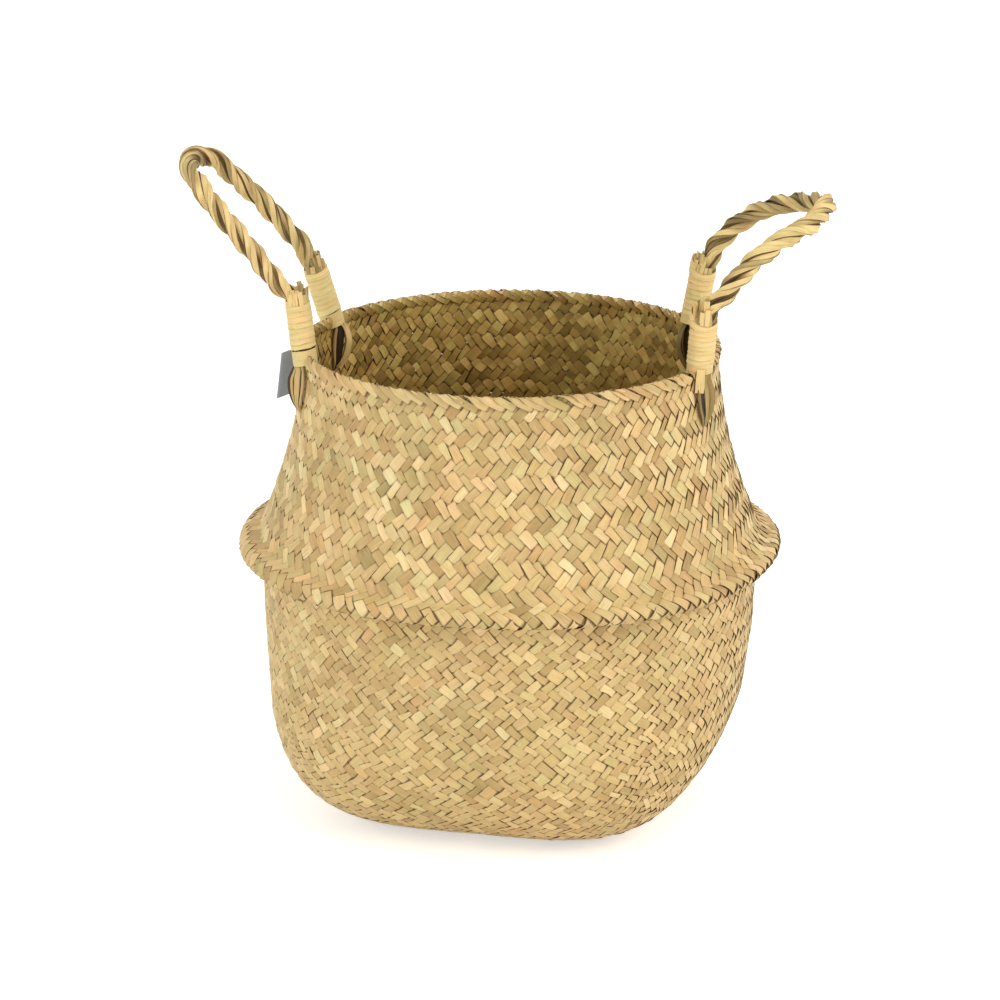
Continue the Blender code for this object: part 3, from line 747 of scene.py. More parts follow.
def weave_point(profile, straws, side, along, row):
    """The middle of the weave at a row, and at a straw's place along one side of the base's square."""
    half_side = straws / BASE_SIDES / 2
    across = along - half_side
    reach = half_side - np.maximum(-row, 0) / 2
    square_share = (np.abs(across) ** BASE_POWER + np.abs(reach) ** BASE_POWER) ** (1 / BASE_POWER) / half_side
    settled = np.clip(row / SETTLE_ROWS, 0, 1)
    settled = settled * settled * (3 - 2 * settled)
    angle = np.arctan2(across, reach) * (1 - settled) + across * math.tau / straws * settled
    angle += BASE_TURN + side * math.tau / BASE_SIDES
    wall_arc = profile.row_arc(np.maximum(row, 0)) + profile.first_arc * (square_share - 1) * (1 - settled)
    loose = np.clip(row / 12, 0, 1) * np.clip((RIM_ROW - 2 - row) / 8, 0, 1)
    drift = np.sin(11 * angle + row * 0.37 + 1) * 0.5 + np.sin(17 * angle - row * 0.53) * 0.4
    wall_arc = wall_arc + (drift + np.sin(29 * angle + row * 0.8 + 2) * 0.3) * loose * ROW_DRIFT
    drift = np.sin(13 * angle + row * 0.45 + 0.5) * 0.5 + np.sin(23 * angle - row * 0.61) * 0.4
    angle = angle + drift * loose * ROUND_DRIFT
    radius, height = profile.at(np.where(row < 0, profile.first_arc * square_share, wall_arc))
    radius = radius * outline_share(angle, height)
    firm = np.clip(height / 0.05, 0, 1) * np.clip((HEIGHT - height) / 0.05, 0, 1)
    uneven = np.sin(3 * angle + height * 31 + 0.6) * 0.5 + np.sin(5 * angle - height * 47 + 2.1) * 0.35
    uneven += np.sin(9 * angle + height * 90 + 1.0) * 0.2
    radius = radius + uneven * firm * BULGE
    height = height + np.sin(4 * angle + 1.9) * SAG * firm
    return np.stack((radius * np.cos(angle), radius * np.sin(angle), height), -1)


def weave_guide(name, profile, straws, first_row, last_row):
    """The surface that the straws follow between two rows, in one patch for each side of the base."""
    side_straws = straws / BASE_SIDES
    columns = np.linspace(0, side_straws, int(side_straws) * 2 + 1)
    along, row = np.meshgrid(columns, np.linspace(first_row, last_row, int((last_row - first_row) * 4) + 1))
    patches = []
    for side in range(BASE_SIDES):

        def slope(more_along, more_row):
            after = weave_point(profile, straws, side, along + more_along, row + more_row)
            before = weave_point(profile, straws, side, along - more_along, row - more_row)
            return (after - before) / (2 * (more_along + more_row))

        place = weave_point(profile, straws, side, along, row)
        uv = np.stack(((side * side_straws + along) / straws, (row - first_row) / (last_row - first_row)), -1)
        patches.append((place, uv, slope(0.2, 0), slope(0, 0.2)))
    return guide_mesh(name, patches)


def turned_round(radius, height, angle):
    """The surface that a profile sweeps round the basket."""
    level_parts = (np.outer(radius, np.cos(angle)), np.outer(radius, np.sin(angle)))
    return np.stack((*level_parts, np.outer(height, 1 + 0 * angle)), -1)


def border_guide(name):
    """Up the outside of the rim, over it and down the inside."""
    outer, inner = RIM_RADIUS - BORDER_OUTSIDE, RIM_RADIUS - BORDER_INSIDE
    bend = (outer - inner) / 2
    shoulder = HEIGHT - BORDER_DROP - bend
    turns = np.linspace(0, math.pi, 14)
    up = outer - MM * np.array((0.5, 0.2, 0, 0)), shoulder - MM * np.array((5.0, 3.6, 2.2, 1.1))
    down = inner + MM * np.array((0, 0, 0.3, 0.6)), shoulder - MM * np.array((0.9, 1.8, 2.7, 3.6))
    radius = np.concatenate((up[0], outer - bend + bend * np.cos(turns), down[0]))
    height = np.concatenate((up[1], shoulder + bend * np.sin(turns), down[1]))
    arc = arc_along(radius, height)
    share = np.linspace(0, 1, 40)
    radius, height = (np.interp(share, arc / arc[-1], part) for part in (radius, height))
    angle = np.linspace(0, math.tau, 361)
    place = turned_round(radius, height, angle)
    round_step = turned_round(radius, 0 * height, angle + math.pi / 2) * math.tau
    row_step = turned_round(np.gradient(radius, share), np.gradient(height, share), angle)
    return guide_mesh(name, [(place, np.stack(np.meshgrid(angle / math.tau, share), -1), round_step, row_step)])


# Handles' routes


def level(angle):
    """The level direction at an angle round the basket."""
    return Vector((math.cos(angle), math.sin(angle), 0))


def square_to(along, direction):
    """The part of a direction that is square to another one, at length one."""
    return (direction - along * direction.dot(along)).normalized()


class Foot:
    """Where a rope stands on the rim and how it leans there."""

    def __init__(self, side, end):
        handle = HANDLES[side]
        self.side, self.end = side, end
        self.bearing = handle["bearing"]
        self.outwards = level(handle["bearing"] + end * handle["half_angle"])
        radius = RIM_RADIUS - WALL / 2
        self.spread = radius * math.sin(handle["half_angle"])
        middle = level(self.bearing) * radius * math.cos(handle["half_angle"]) + UP * (HEIGHT - FOOT_DROP)
        # From the handle's own directions, outwards and along its feet, to the basket's
        self.place = Matrix.Translation(middle) @ Matrix.Rotation(self.bearing, 4, "Z")
        out, inwards = handle["leans"][end]
        self.own_spot = Vector((0, end * self.spread, 0))
        self.own_along = Vector((math.tan(out), -end * math.tan(inwards), 1)).normalized()
        self.spot = self.place @ self.own_spot
        self.along = self.place.to_3x3() @ self.own_along


def smooth_route(points, spacing):
    """A smooth curve through the points, read off at an even spacing."""
    gaps = [(after - before).length for before, after in zip(points, points[1:])]
    slopes = [(after - before) / gap for before, after, gap in zip(points, points[1:], gaps)]
    tangents = slopes[:1]
    for gap, next_gap, slope, next_slope in zip(gaps, gaps[1:], slopes, slopes[1:]):
        tangents.append((slope * next_gap + next_slope * gap) / (gap + next_gap))
    tangents.append(slopes[-1])
    fine = []
    parts = 24
    for before, after, gap, slope, next_slope in zip(points, points[1:], gaps, tangents, tangents[1:]):
        for part in range(parts):
            t = part / parts
            from_before = before * (1 + 2 * t) + slope * gap * t
            from_after = after * (3 - 2 * t) - next_slope * gap * (1 - t)
            fine.append(from_before * (1 - t) ** 2 + from_after * t**2)
    fine.append(points[-1])
    lengths = [0.0]
    for here, there in zip(fine, fine[1:]):
        lengths.append(lengths[-1] + (there - here).length)
    wanted = np.linspace(0, lengths[-1], math.ceil(lengths[-1] / spacing) + 1)
    axes = [np.interp(wanted, lengths, [point[axis] for point in fine]) for axis in range(3)]
    return [Vector(point) for point in zip(*axes)]


def rope_route(side):
    """The rope's middle from the first foot over the tip to the other, in the basket's frame."""
    halves = []
    for end in (-1, 1):
        foot = Foot(side, end)
        half = []
        for share in STRAIGHT_SHARES:
            aside = Vector((ROPE_ASIDE * min(share, 1), 0, 0))
            half.append(foot.own_spot + aside + foot.own_along * (BINDING_START + BINDING_LENGTH * share))
        for out, rise, aside in HANDLES[side]["route_shares"]:
            half.append(Vector((out * HANDLE_HEIGHT, end * aside * foot.spread, rise * HANDLE_HEIGHT)))
        halves.append(half)
    return [foot.place @ point for point in smooth_route(halves[0] + halves[1][-2::-1], ROUTE_SPACING)]


def carried_frames(points):
    """The run at each point, and a direction square to it that is carried along without twist."""
    befores, afters = points[:1] + points[:-1], points[1:] + points[-1:]
    runs = [(after - before).normalized() for before, after in zip(befores, afters)]
    first = runs[0].orthogonal().normalized()
    frames = []
    for before, run in zip(runs[:1] + runs[:-1], runs):
        first = square_to(run, before.rotation_difference(run) @ first)
        frames.append((run, first))
    return frames


def ribbon_guide(name, points):
    """A narrow ribbon along a route, which knows its run and the direction square to it."""
    frames = carried_frames(points)
    place = np.array([[point - first * MM, point + first * MM] for point, (_, first) in zip(points, frames)])
    runs = np.array([[run, run] for run, _ in frames])
    firsts = np.array([[first, first] for _, first in frames])
    v, u = np.meshgrid((0, 1), np.linspace(0, 1, len(points)))
    return guide_mesh(name, [(place, np.stack((u, v), -1), firsts, runs)])


class StrawBundle:
    """Single straws bent along their own routes, gathered in one mesh."""

    CORNERS = ((1, 1), (-1, 1), (-1, -1), (1, -1))
    SPACING = 0.0012

    def __init__(self):
        self.points, self.faces, self.runs, self.straws, self.tones, self.caps = [], [], [], [], [], []

    def add(self, route, widths, thickness, face, number, tone, axis=None):
        """A flat straw along a route. Its broad side looks the way of face, or squarely away from an axis."""
        spots = smooth_route([Vector(point) for point in route], self.SPACING)
        wide = np.interp(np.linspace(0, 1, len(spots)), np.linspace(0, 1, len(widths)), widths)
        section, start = len(self.CORNERS), len(self.points)
        travelled = 0.0
        for index, spot in enumerate(spots):
            before, after = spots[max(index - 1, 0)], spots[min(index + 1, len(spots) - 1)]
            run = (after - before).normalized()
            out = square_to(run, square_to(axis, face(spot)) if axis else face)
            side = out.cross(run)
            travelled += (spot - before).length
            for across, up in self.CORNERS:
                self.points.append(spot + side * across * wide[index] / 2 + out * up * thickness / 2)
                self.runs.append((travelled + number, across, 1.0))
        self.straws += [(number * 0.618) % 1.0] * section * len(spots)
        self.tones += [tone] * section * len(spots)
        for line in range(start, start + (len(spots) - 1) * section, section):
            for corner in range(section):
                here, beside = line + corner, line + (corner + 1) % section
                self.faces.append((here, beside, section + beside, section + here))
        self.caps += [len(self.faces), len(self.faces) + 1]
        last = start + (len(spots) - 1) * section
        self.faces.append(tuple(range(start + section - 1, start - 1, -1)))
        self.faces.append(tuple(range(last, last + section)))

    def made(self, name, material):
        mesh = bpy.data.meshes.new(name)
        mesh.from_pydata([tuple(point) for point in self.points], [], self.faces)
        marks = {"run": self.runs, "straw": self.straws, "tone": self.tones, "lift": [1.0] * len(self.points)}
        for title, values in marks.items():
            keep_on_points(mesh, title, values)
        mesh.shade_smooth()
        for index in self.caps:
            mesh.polygons[index].use_smooth = False
        for edge in mesh.edges:
            edge.use_edge_sharp = abs(edge.vertices[0] - edge.vertices[1]) == len(self.CORNERS)
        mesh.materials.append(material)
        return shown(name, mesh)


# Finishes: straws' tones from dark to pale, and the tints that they are multiplied by


def stops(*shades):
    return tuple((position, linear(*shade)) for position, *shade in shades)


GREENISH = (0.90, 1.03, 0.94, 1.0)
RUDDY = (1.10, 0.96, 0.94, 1.0)
GOLDEN = (1.0, 0.97, 0.80, 1.0)
# Tint for the straws' inside faces: partly their own less bleached olive colour, partly painted shade for the
# inside of the basket.
INSIDE_TINT_AND_SHADE = (*linear(221, 214, 172), 1.0)
SHADOW = (*linear(82, 56, 26), 1.0)
WALL_STRAWS = stops(
    *((0, 178, 148, 96), (0.28, 202, 170, 115), (0.50, 219, 188, 132)),
    *((0.74, 234, 204, 148), (1, 250, 224, 172)),
)
ROPE_STRAWS = stops(
    *((0, 146, 124, 76), (0.22, 188, 162, 108), (0.42, 222, 194, 134)),
    *((0.66, 248, 220, 156), (0.84, 230, 196, 134), (1, 204, 156, 104)),
)
STRIP_STRAWS = stops((0, 232, 200, 134), (0.50, 244, 214, 150), (1, 248, 222, 166))
# The darkest stops are partly dark straws and partly painted shade for the slots at the feet.
FOOT_STRAWS = stops(
    *((0, 44, 33, 18), (0.20, 66, 50, 28), (0.38, 136, 114, 68)),
    *((0.60, 186, 156, 100), (0.82, 226, 198, 138), (1, 246, 216, 154)),
)


def new_finish(name):
    made = bpy.data.materials.new(name)
    made.use_nodes = True
    return made, Board(made.node_tree), made.node_tree.nodes["Principled BSDF"]


def straw_finish(name, tones, roughness=0.58, seam=0.68, drift=0.5, dive=(0.85, -0.3), dive_shade=0.6):
    """Dry flat straw: its own tone, fibres along it, painted shade on its edges and corners, and painted shade
    where it dives under another.
    """
    if name in bpy.data.materials:
        return bpy.data.materials[name]
    made, board, shader = new_finish(name)
    along, across, out = board.split(board.attribute("run", "Vector"))
    straw, tone, lift = (board.attribute(title, "Fac") for title in ("straw", "tone", "lift"))
    position = board.place("ShaderNodeTexCoord", output="Object")
    upper = board.split(position)[2].step(0.125, 0.175)
    inner = out.step(0.1, -0.5)
    own = board.sum_of("FRACT", tone * 37.0)
    tone = tone + (board.noise(straw * 173.0, along * 90.0, across * 0.6, detail=2.0) - 0.5) * drift
    spread = 0.78 + upper * 0.22 + inner * 0.3
    colour = board.place("ShaderNodeValToRGB", {"stops": tones}, {0: 0.5 + (tone - 0.5) * spread}, "Color")
    ruddy = (board.noise(straw * 83.0, along * 35.0, own * 3.0) - 0.5) * 1.5 + (own - 0.5) * 0.3
    ruddy = 0.5 + (ruddy + (board.noise(position, scale=30.0) - 0.5) * 0.7) * (0.6 + upper * 0.4)
    colour = board.blend(1.0, colour, board.blend(ruddy, GREENISH, RUDDY), "MULTIPLY")
    golden = board.noise(own * 71.0, along * 20.0, straw * 9.0).step(0.3, 0.85)
    colour = board.blend(golden * 0.7, colour, GOLDEN, "MULTIPLY")
    fibres = board.noise(along * 70.0, across * 5.0, straw * 91.0, detail=3.0)
    fine = board.noise(along * 240.0, across * 13.0, straw * 57.0, detail=2.0)
    grain = 1.0 + (fibres - 0.5) * 0.5 + (fine - 0.5) * 0.34
    broad = 1.0 + (board.noise(position, detail=2.0, scale=22.0) - 0.5) * 0.2
    colour = board.scaled(colour, grain * broad * (1.0 + inner * (tone - 0.5) * 0.3))
    # Painted shade: each straw's long edges are darkened for the shade in the gaps between straws, in patches
    # set by noise.
    patchy_edge_shade = board.noise(straw * 31.0, along * 130.0, across).step(0.34, 0.62)
    edge = abs(across).step(0.86, 1.0) * patchy_edge_shade
    # Painted shade where a straw dives under the one that crosses it, and in the corners at the ends of its
    # floats.
    shown_lift = lift * (out * 4.0).clamp(-1.0, 1.0)
    dived_shade_mask = shown_lift.step(*dive)
    corner = abs(across).step(0.5, 1.0) * shown_lift.step(dive[0] + 0.1, dive[1] + 0.3)
    parted = board.noise(straw * 47.0, along * 38.0, 5.0).step(seam - 0.02, seam)
    split = abs(abs(across + 0.12) - 0.3).step(0.06, 0.0) * parted
    # The painted shade, deeper on the inside faces, and the dark splits go towards SHADOW; the inside faces are
    # then multiplied by the inside tint, partly own colour and partly painted shade.
    dark = (edge * (0.62 + inner * 0.2)).most(dived_shade_mask * (dive_shade + inner * 0.3))
    dark = dark.most((corner * 0.92).most(split * 0.5))
    colour = board.blend(inner, board.blend(dark, colour, SHADOW), INSIDE_TINT_AND_SHADE, "MULTIPLY")
    relief = fibres * 0.5 + fine * 0.3 - split * 0.8
    bump = board.bump(relief, 0.5, 0.0004)
    rough = roughness + (fibres - 0.5) * 0.25 + dark * 0.2
    board.feed(shader, {"Base Color": colour, "Roughness": rough, "Normal": bump})
    return made


def wall_finish():
    return straw_finish("woven_straw_finish", WALL_STRAWS)


def rope_finish():
    # Painted shade deep in the valleys between the plies.
    return straw_finish("twisted_straw_finish", ROPE_STRAWS, seam=0.6, dive=(-0.05, -0.5), dive_shade=0.9)


def cloth_finish(name, colour):
    """A fine plain-woven grey tape."""
    made, board, shader = new_finish(name)
    x, y, _ = board.split(board.attribute("cloth", "Vector"))
    warp, weft = ((way * (math.tau / THREAD_SPACING)).sin() for way in (x, y))
    threads = (warp * weft).most(-0.2)
    shade = 0.9 + threads * 0.1 + (board.noise(x, y, detail=3.0, scale=900.0) - 0.5) * 0.3
    colour = board.scaled(tuple(colour), shade)
    board.feed(shader, {"Base Color": colour, "Roughness": 0.85, "Normal": board.bump(threads, 0.4, 0.0002)})
    return made


# Operators


def dressed(piece, slot, *nodes):
    """Hides the imported parts that a piece stands for, if any, and gives the piece back; slot is not used."""
    if nodes:
        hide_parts(*nodes)
    return piece


def woven(zone_name, *nodes):
    """The straws of one zone, those of each lean as a piece; the first piece stands for the nodes."""
    settings = bpy.context.scene.weave
    *straw_rows, guide_rows, segments, relief = ZONES[zone_name]
    profile = WallProfile()
    for (way, (lean, phase)), rows in zip(LEANS.items(), straw_rows):
        name = f"{zone_name}_straws_{way}"
        guide = weave_guide(name, profile, settings.straws, *guide_rows)
        tree = weave_tree(f"Weave {zone_name} {way}", lean, zone_name == "base")
        values = {
            "Straws": settings.straws,
            "Segments": segments,
            "First row": float(rows[0]),
            "Last row": float(rows[1]),
            "Guide first row": float(guide_rows[0]),
            "Guide last row": float(guide_rows[1]),
            "Width share": settings.width_share,
            "Thickness": settings.thickness,
            "Wave": settings.wave * relief,
            "Wave phase": phase,
            "Unevenness": settings.unevenness,
            "Tuck row": TUCK_ROW,
            "Tuck depth": TUCK_DEPTH,
            "Seed": settings.seed + (way == "left"),
            "Crossed seed": settings.seed + (way == "right"),
            "Material": wall_finish(),
        }
        yield dressed(grown(name, guide, tree, values), "woven_straw", *(nodes if way == "right" else ()))


class BASKET_OT_lower_body(bpy.types.Operator):
    """Weave the floor, the turned edge and the wall below the belly"""

    bl_idname = "basket.lower_body"
    bl_label = "Lower Body"

    def execute(self, context):
        for zone, nodes in (("base", ("woven_base", "turned_edge")), ("lower_wall", ("lower_wall",))):
            for piece in woven(zone, *nodes):
                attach(piece, "lower_body")
        return {"FINISHED"}


class BASKET_OT_belly(bpy.types.Operator):
    """Weave the pleat that stands out as the belly"""

    bl_idname = "basket.belly"
    bl_label = "Belly Fold"

    def execute(self, context):
        start, end = (0, 0, FOLD_HEIGHT + WALL / 2), (0, 0, FOLD_HEIGHT + LIP_RISE)
        for piece in woven("belly", "belly_fold"):
            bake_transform(piece)
            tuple(start)
            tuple(end)
        return {"FINISHED"}


class BASKET_OT_upper_body(bpy.types.Operator):
    """Weave the wall above the belly and fold the straws over the rim"""

    bl_idname = "basket.upper_body"
    bl_label = "Upper Body and Rim"

    def execute(self, context):
        for piece in woven("upper_wall", "upper_wall"):
            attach(piece, "upper_body")
        values = {
            "Straws": 102,
            "Segments": 40,
            "Slant": 3.3,
            "Width share": 1.22,
            "Thickness": 0.0005,
            "Looseness": MM,
            "Seed": context.scene.weave.seed + 5,
            "Material": straw_finish("rim_straw_finish", WALL_STRAWS, seam=0.66),
        }
        border = grown("rim_border_straws", border_guide("rim_border"), border_tree(), values)
        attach(dressed(border, "rim_straw", "rim_border"), "upper_body")
        return {"FINISHED"}


class BASKET_OT_handles(bpy.types.Operator):
    """Lay the two rope handles out of straws"""

    bl_idname = "basket.handles"
    bl_label = "Rope Handles"

    def execute(self, context):
        tree = rope_tree()
        for seed, side in enumerate(HANDLES):
            route = rope_route(side)
            values = {
                "Straws": context.scene.handles.straws_per_ply * PLIES,
                "Segments": 190,
                "Length": sum((after - before).length for before, after in zip(route, route[1:])),
                "Rope middle": ROPE_MIDDLE,
                "Ply middle": PLY_MIDDLE,
                "Straw width": 0.0033,
                "Straw thickness": 0.0007,
                "Looseness": MM,
                "Lay": ROPE_LAY,
                "Seed": 11 + seed,
                "Material": rope_finish(),
            }
            rope = grown(f"{side}_rope_straws", ribbon_guide(f"{side}_route", route), tree, values)
            plies = [f"{side}_rope_ply_{ply + 1}" for ply in range(PLIES)]
            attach(dressed(rope, "twisted_straw", *plies), f"{side}_handle")
        return {"FINISHED"}


class BASKET_OT_feet(bpy.types.Operator):
    """Wind the pale strips round the feet, with the cut straw ends above them"""

    bl_idname = "basket.feet"
    bl_label = "Foot Bindings"

    def execute(self, context):
        strip = straw_finish("binding_strip_finish", STRIP_STRAWS, roughness=0.5, seam=0.8, drift=1.0)
        tree = binding_tree()
        for seed, ((side, end), where) in enumerate(FEET.items()):
            foot = Foot(side, end)
            body, name = f"{side}_handle", f"{side}_{where}"
            start = foot.spot + foot.along * BINDING_START
            _, first = carried_frames([start, start + foot.along])[0]
            toward = Vector((0.25, -1, 0))
            dip_angle = math.atan2(toward.dot(foot.along.cross(first)), toward.dot(first))
            open_top = side == "right"
            length = BINDING_LENGTH - (FRONT_TOP_LESS if open_top and end < 0 else 0)
            values = {
                "Segments": 260,
                "Length": length,
                "Loops": context.scene.handles.binding_loops,
                "Radius": BINDING_RADII[side],
                "Thickness": STRIP_THICKNESS,
                "Overlap": 1.28,
                "Looseness": MM,
                "Start angle": dip_angle + math.tau * 0.55,
                "Dip angle": dip_angle,
                "Dip": BINDING_DIP if open_top else 0.0,
                "Seed": 31 + seed,
                "Material": strip,
            }
            guide = ribbon_guide(name + "_foot", [start, start + foot.along * 0.1 * MM])
            piece = grown(name + "_binding_strip", guide, tree, values)
            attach(dressed(piece, "binding_strip", name + "_binding"), body)
            ends = self.cut_ends(foot, seed, start, length).made(name + "_cut_ends", rope_finish())
            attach(dressed(ends, "twisted_straw", name + "_straw_ends"), body)
        return {"FINISHED"}

    def cut_ends(self, foot, seed, start, length):
        """Straws that come out of the binding beside the rope and are cut off."""
        rng = np.random.default_rng(90 + seed)
        bundle = StrawBundle()
        along = foot.along
        inwards = square_to(along, (Vector((0, -0.55, 0)) - level(foot.bearing)).normalized())
        aside = along.cross(inwards)
        top = length - 0.0015
        for number in range(CUT_ENDS):
            layer, place = divmod(number, CUT_ENDS_IN_LAYER)
            angle = (-90 + 20 * place) * (1 - 0.15 * layer) * DEGREE + rng.uniform(-7, 7) * DEGREE
            around = inwards * math.cos(angle) + aside * math.sin(angle)
            ring = BINDING_RADII[foot.side] - 0.0009 - CUT_LAYER_STEP * layer + rng.uniform(-0.0003, 0.0003)
            rise = (rng.uniform(0.0038, 0.0088) + layer * 0.0030) * (0.7 + 0.3 * math.cos(angle))
            rise += BINDING_LENGTH - length
            lean = rng.uniform(-0.26, 0.10)
            spots = ((top - 0.012, ring), (top, ring), (top + rise, ring + rise * lean))
            route = [start + along * height + around * reach for height, reach in spots]
            width = rng.uniform(0.0019, 0.0031)
            tone = rng.uniform(0.05, 0.8)
            widths = (width, width, width * 1.1)
            bundle.add(route, widths, rng.uniform(0.0006, 0.0012), around, number + 20 * seed, tone)
        return bundle


class BASKET_OT_foot_loops(bpy.types.Operator):
    """Bend the straws that hold each foot to the wall"""

    bl_idname = "basket.foot_loops"
    bl_label = "Foot Loops"

    def execute(self, context):
        finish = straw_finish("foot_straw_finish", FOOT_STRAWS, seam=0.6, drift=0.25, dive=(-0.2, -0.5))
        start, end = (0, 0, HEIGHT - 0.004), (0, 0, HEIGHT + 0.006)
        for seed, ((side, side_end), where) in enumerate(FEET.items()):
            name = f"{side}_{where}"
            piece = self.loops(Foot(side, side_end), seed).made(name + "_loop_straws", finish)
            dressed(piece, "foot_loop_straw", name + "_foot_loop")
            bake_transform(piece)
            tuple(start)
            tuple(end)
        return {"FINISHED"}

    def loops(self, foot, seed):
        """Straws from under the binding, down both sides of the rim, that meet at the slot."""
        outwards, along = foot.outwards, foot.along
        aside = UP.cross(outwards)
        bundle = StrawBundle()

        def wall(share, way, out, across):
            height = HEIGHT - LOOP_INSET - SLOT_DROP * share
            radius = float(upper_radius(height)) - WALL / 2 + way * (LOOP_STANDOFF + out)
            return outwards * radius + aside * across + UP * height

        for way in (1, -1):
            top = foot.spot + along * (BINDING_START + LOOP_INSET) + outwards * way * 0.0030
            for number, (*sizes, tone, turn) in enumerate(LOOPS[foot.side, foot.end, way]):
                out, across, width = (size * MM for size in sizes)
                route = (
                    top + aside * across * 0.35,
                    foot.spot + along * 0.006 + outwards * way * (0.0040 + out * 0.2) + aside * across * 0.5,
                    wall(0.12, way, out * 0.55 + 0.0004, across * 0.8),
                    wall(0.36, way, out, across),
                    wall(0.62, way, out * 0.85, across * 0.9),
                    wall(0.86, way, out * 0.35, across * 0.5),
                    wall(1.0, way, -0.0012, across * 0.15),
                )
                face = outwards * way * math.cos(turn * DEGREE) + aside * math.sin(turn * DEGREE)
                widths = [width * share for share in (0.7, 0.8, 1, 1.1, 1, 0.7, 0.45)]
                bundle.add(route, widths, LOOP_THICKNESS, face, number + 7 * seed + 3 * way, tone)
        self.lashing(bundle, foot)
        if (foot.side, foot.end) == ("right", -1):
            front = square_to(along, Vector((0.05, -1, 0)))
            ring = BINDING_RADII[foot.side] + 0.0006
            route = [foot.spot + along * rise + front * ring for rise in (0.0100, 0.0050, 0.0005, -0.0030)]
            bundle.add(route, (0.0046, 0.0048, 0.0049, 0.0047), STRIP_THICKNESS, front, 3, 0.95)
        return bundle

    def lashing(self, bundle, foot):
        """The lowest turns of the strip, which hold the foot down on the rim and stay with it."""
        along, start = foot.along, LASHING_START[foot.side]
        first = along.orthogonal().normalized()
        second = along.cross(first)
        route = []
        turns = (LASHING_TOP - start) / LASHING_PITCH
        steps = int(turns * 20)
        for step in range(steps + 1):
            angle = step / steps * turns * math.tau
            around = first * math.cos(angle) + second * math.sin(angle)
            rise = start + (LASHING_TOP - start) * step / steps
            route.append(foot.spot + along * rise + around * (BINDING_RADII[foot.side] - 0.0002))
        bundle.add(route, (0.0034, 0.0034), STRIP_THICKNESS, lambda spot: spot - foot.spot, 5, 0.92, along)


class BASKET_OT_label(bpy.types.Operator):
    """Fold the bare grey tape beside the left front foot"""

    bl_idname = "basket.label"
    bl_label = "Label"

    def execute(self, context):
        across, up = 36, 26
        low_height = HEIGHT - LABEL_DROP - LABEL_HEIGHT
        outwards = level(LABEL_ANGLE)
        aside = UP.cross(outwards)
        wall_radius = float(upper_radius(low_height)) + 0.0003
        flat_width = 2 * LABEL_REACH + LABEL_FOLD
        points, cloth, faces = [], [], []
        for line in range(up + 1):
            rise = line / up
            for column in range(across + 1):
                share = column / across * 2 - 1
                out = (LABEL_REACH - 0.0017 - 0.0030 * rise) * (1 - abs(share))
                fold = math.copysign(min(1, abs(share) * 6) ** 0.5, share)
                bend = math.sin(rise * 2.4 + 0.4) * 0.0006 * (out / LABEL_REACH)
                spot = outwards * (wall_radius + out) + aside * (fold * 0.0005 + bend)
                droop = 0.0005 + 0.0045 * out / LABEL_REACH
                points.append(spot + UP * (low_height + LABEL_HEIGHT * rise - droop))
                cloth.append((share * flat_width / 2, rise * LABEL_HEIGHT, 0.0))
                if line < up and column < across:
                    low = line * (across + 1) + column
                    faces.append((low, low + across + 1, low + across + 2, low + 1))
        mesh = bpy.data.meshes.new("label_tape")
        mesh.from_pydata([tuple(point) for point in points], [], faces)
        keep_on_points(mesh, "cloth", cloth)
        mesh.materials.append(cloth_finish("grey_tape_finish", context.scene.label.colour))
        mesh.shade_smooth()
        piece = shown("label_tape", mesh)
        wall = piece.modifiers.new("Thickness", "SOLIDIFY")
        wall.thickness = LABEL_THICKNESS
        wall.offset = 0.0
        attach(dressed(piece, "grey_tape", "label"), "upper_body")
        return {"FINISHED"}


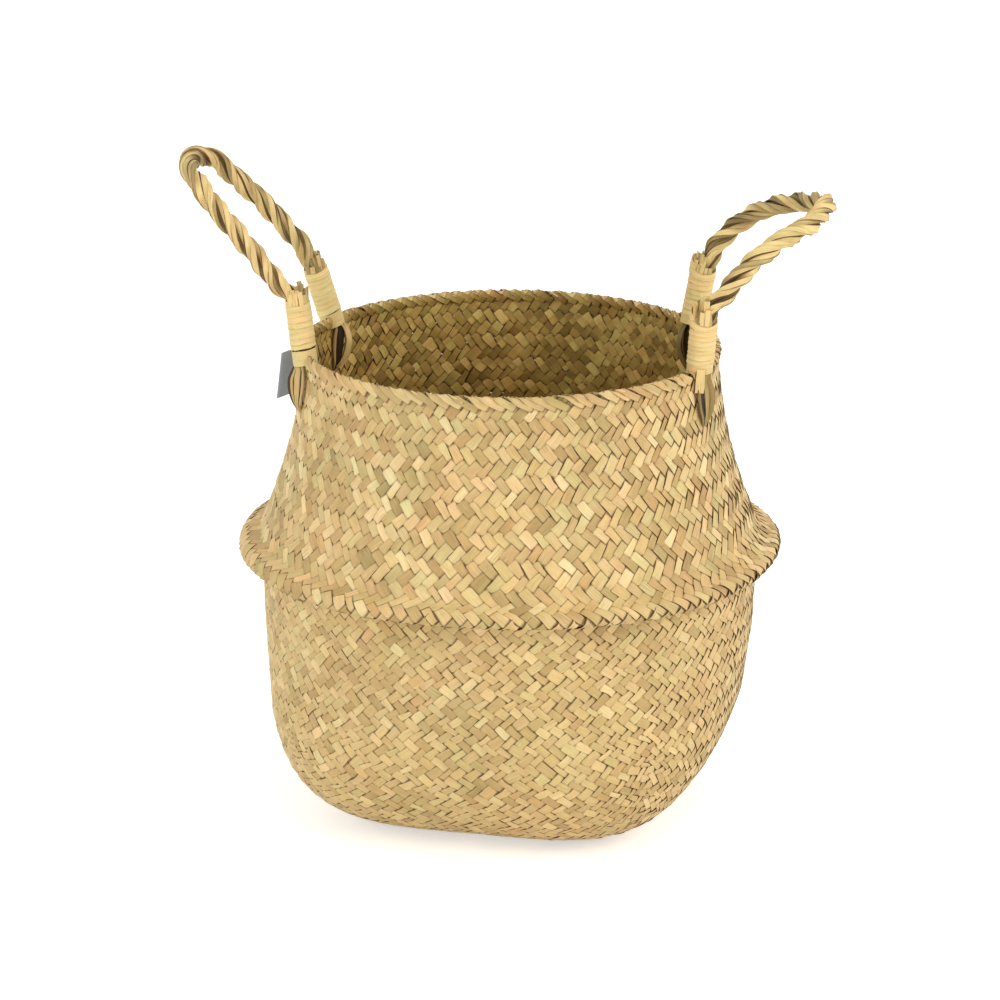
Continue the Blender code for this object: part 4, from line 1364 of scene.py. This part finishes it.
class BASKET_OT_stage(bpy.types.Operator):
    """Set the pale floor, the soft lamps and the camera"""

    bl_idname = "basket.stage"
    bl_label = "Stage"

    def execute(self, context):
        mesh = bpy.data.meshes.new("floor")
        corners = [(x * FLOOR_REACH, y * FLOOR_REACH, 0) for x, y in ((-1, -1), (1, -1), (1, 1), (-1, 1))]
        mesh.from_pydata(corners, [], [(0, 1, 2, 3)])
        floor = shown("floor", mesh)
        made, board, shader = new_finish("floor_finish")
        glow = self.seen_rays(board) * FLOOR_GLOW
        board.feed(shader, {"Base Color": (0.93, 0.93, 0.92, 1), "Roughness": 0.9})
        board.feed(shader, {"Emission Color": (1, 1, 1, 1), "Emission Strength": glow})
        mesh.materials.append(made)
        self.light(context.scene)
        camera = shown("camera", bpy.data.cameras.new("camera"))
        back = Vector((0, -math.cos(CAMERA_ELEVATION), math.sin(CAMERA_ELEVATION)))
        camera.location = CAMERA_TARGET + back * CAMERA_DISTANCE
        camera.rotation_euler = (math.pi / 2 - CAMERA_ELEVATION + CAMERA_RAISED, 0, CAMERA_SWUNG)
        camera.data.lens = CAMERA_LENS
        camera.data.sensor_width = 36
        context.scene.camera = camera
        context.scene.view_settings.view_transform = "Standard"
        return {"FINISHED"}

    def seen_rays(self, board):
        """1 for the rays that see the background itself, and 0 for those that carry its light."""
        path = board.place("ShaderNodeLightPath").socket.node
        camera, glossy, through = (
            Wire(board, path.outputs[f"Is {way} Ray"]) for way in ("Camera", "Glossy", "Transmission")
        )
        return board.sum_of("MINIMUM", camera + glossy + through, 1.0)

    def light(self, scene):
        settings = scene.stage
        world = bpy.data.worlds.new("studio")
        world.use_nodes = True
        board = Board(world.node_tree)
        strength = settings.sky + self.seen_rays(board) * (1.0 - settings.sky)
        board.feed(world.node_tree.nodes["Background"], {"Color": (1, 1, 1, 1), "Strength": strength})
        scene.world = world
        lamps = (
            ("key_lamp", (1.9, -1.4, 1.8), 1.6, settings.lamp_power, (1.0, 0.96, 0.92)),
            ("fill_lamp", (-1.9, -1.5, 1.3), 1.8, settings.lamp_power * 0.48, (0.93, 1.0, 0.95)),
        )
        for name, place, size, power, colour in lamps:
            lamp = shown(name, bpy.data.lights.new(name, "AREA"))
            lamp.data.shape = "DISK"
            lamp.data.size = size
            lamp.data.energy = power
            lamp.data.color = colour
            lamp.location = place
            lamp.rotation_euler = (CAMERA_TARGET - Vector(place)).to_track_quat("-Z", "Y").to_euler()


OPERATORS = (
    BASKET_OT_lower_body,
    BASKET_OT_belly,
    BASKET_OT_upper_body,
    BASKET_OT_handles,
    BASKET_OT_feet,
    BASKET_OT_foot_loops,
    BASKET_OT_label,
    BASKET_OT_stage,
)


class BASKET_PT_panel(bpy.types.Panel):
    bl_label = "Belly Basket"
    bl_idname = "BASKET_PT_panel"
    bl_space_type = "VIEW_3D"
    bl_region_type = "UI"
    bl_category = "Basket"

    def draw(self, context):
        for operator in OPERATORS:
            self.layout.operator(operator.bl_idname)


SETTINGS = {"weave": WeaveSettings, "handles": HandleSettings, "label": LabelSettings, "stage": StageSettings}
CLASSES = (*SETTINGS.values(), *OPERATORS, BASKET_PT_panel)


def register():
    for cls in CLASSES:
        bpy.utils.register_class(cls)
    for name, group in SETTINGS.items():
        setattr(bpy.types.Scene, name, bpy.props.PointerProperty(type=group))


def unregister():
    for name in SETTINGS:
        delattr(bpy.types.Scene, name)
    for cls in reversed(CLASSES):
        bpy.utils.unregister_class(cls)


def main():
    register()
    for operator in OPERATORS:
        group, name = operator.bl_idname.split(".")
        getattr(getattr(bpy.ops, group), name)()


if __name__ == "__main__":
    main()
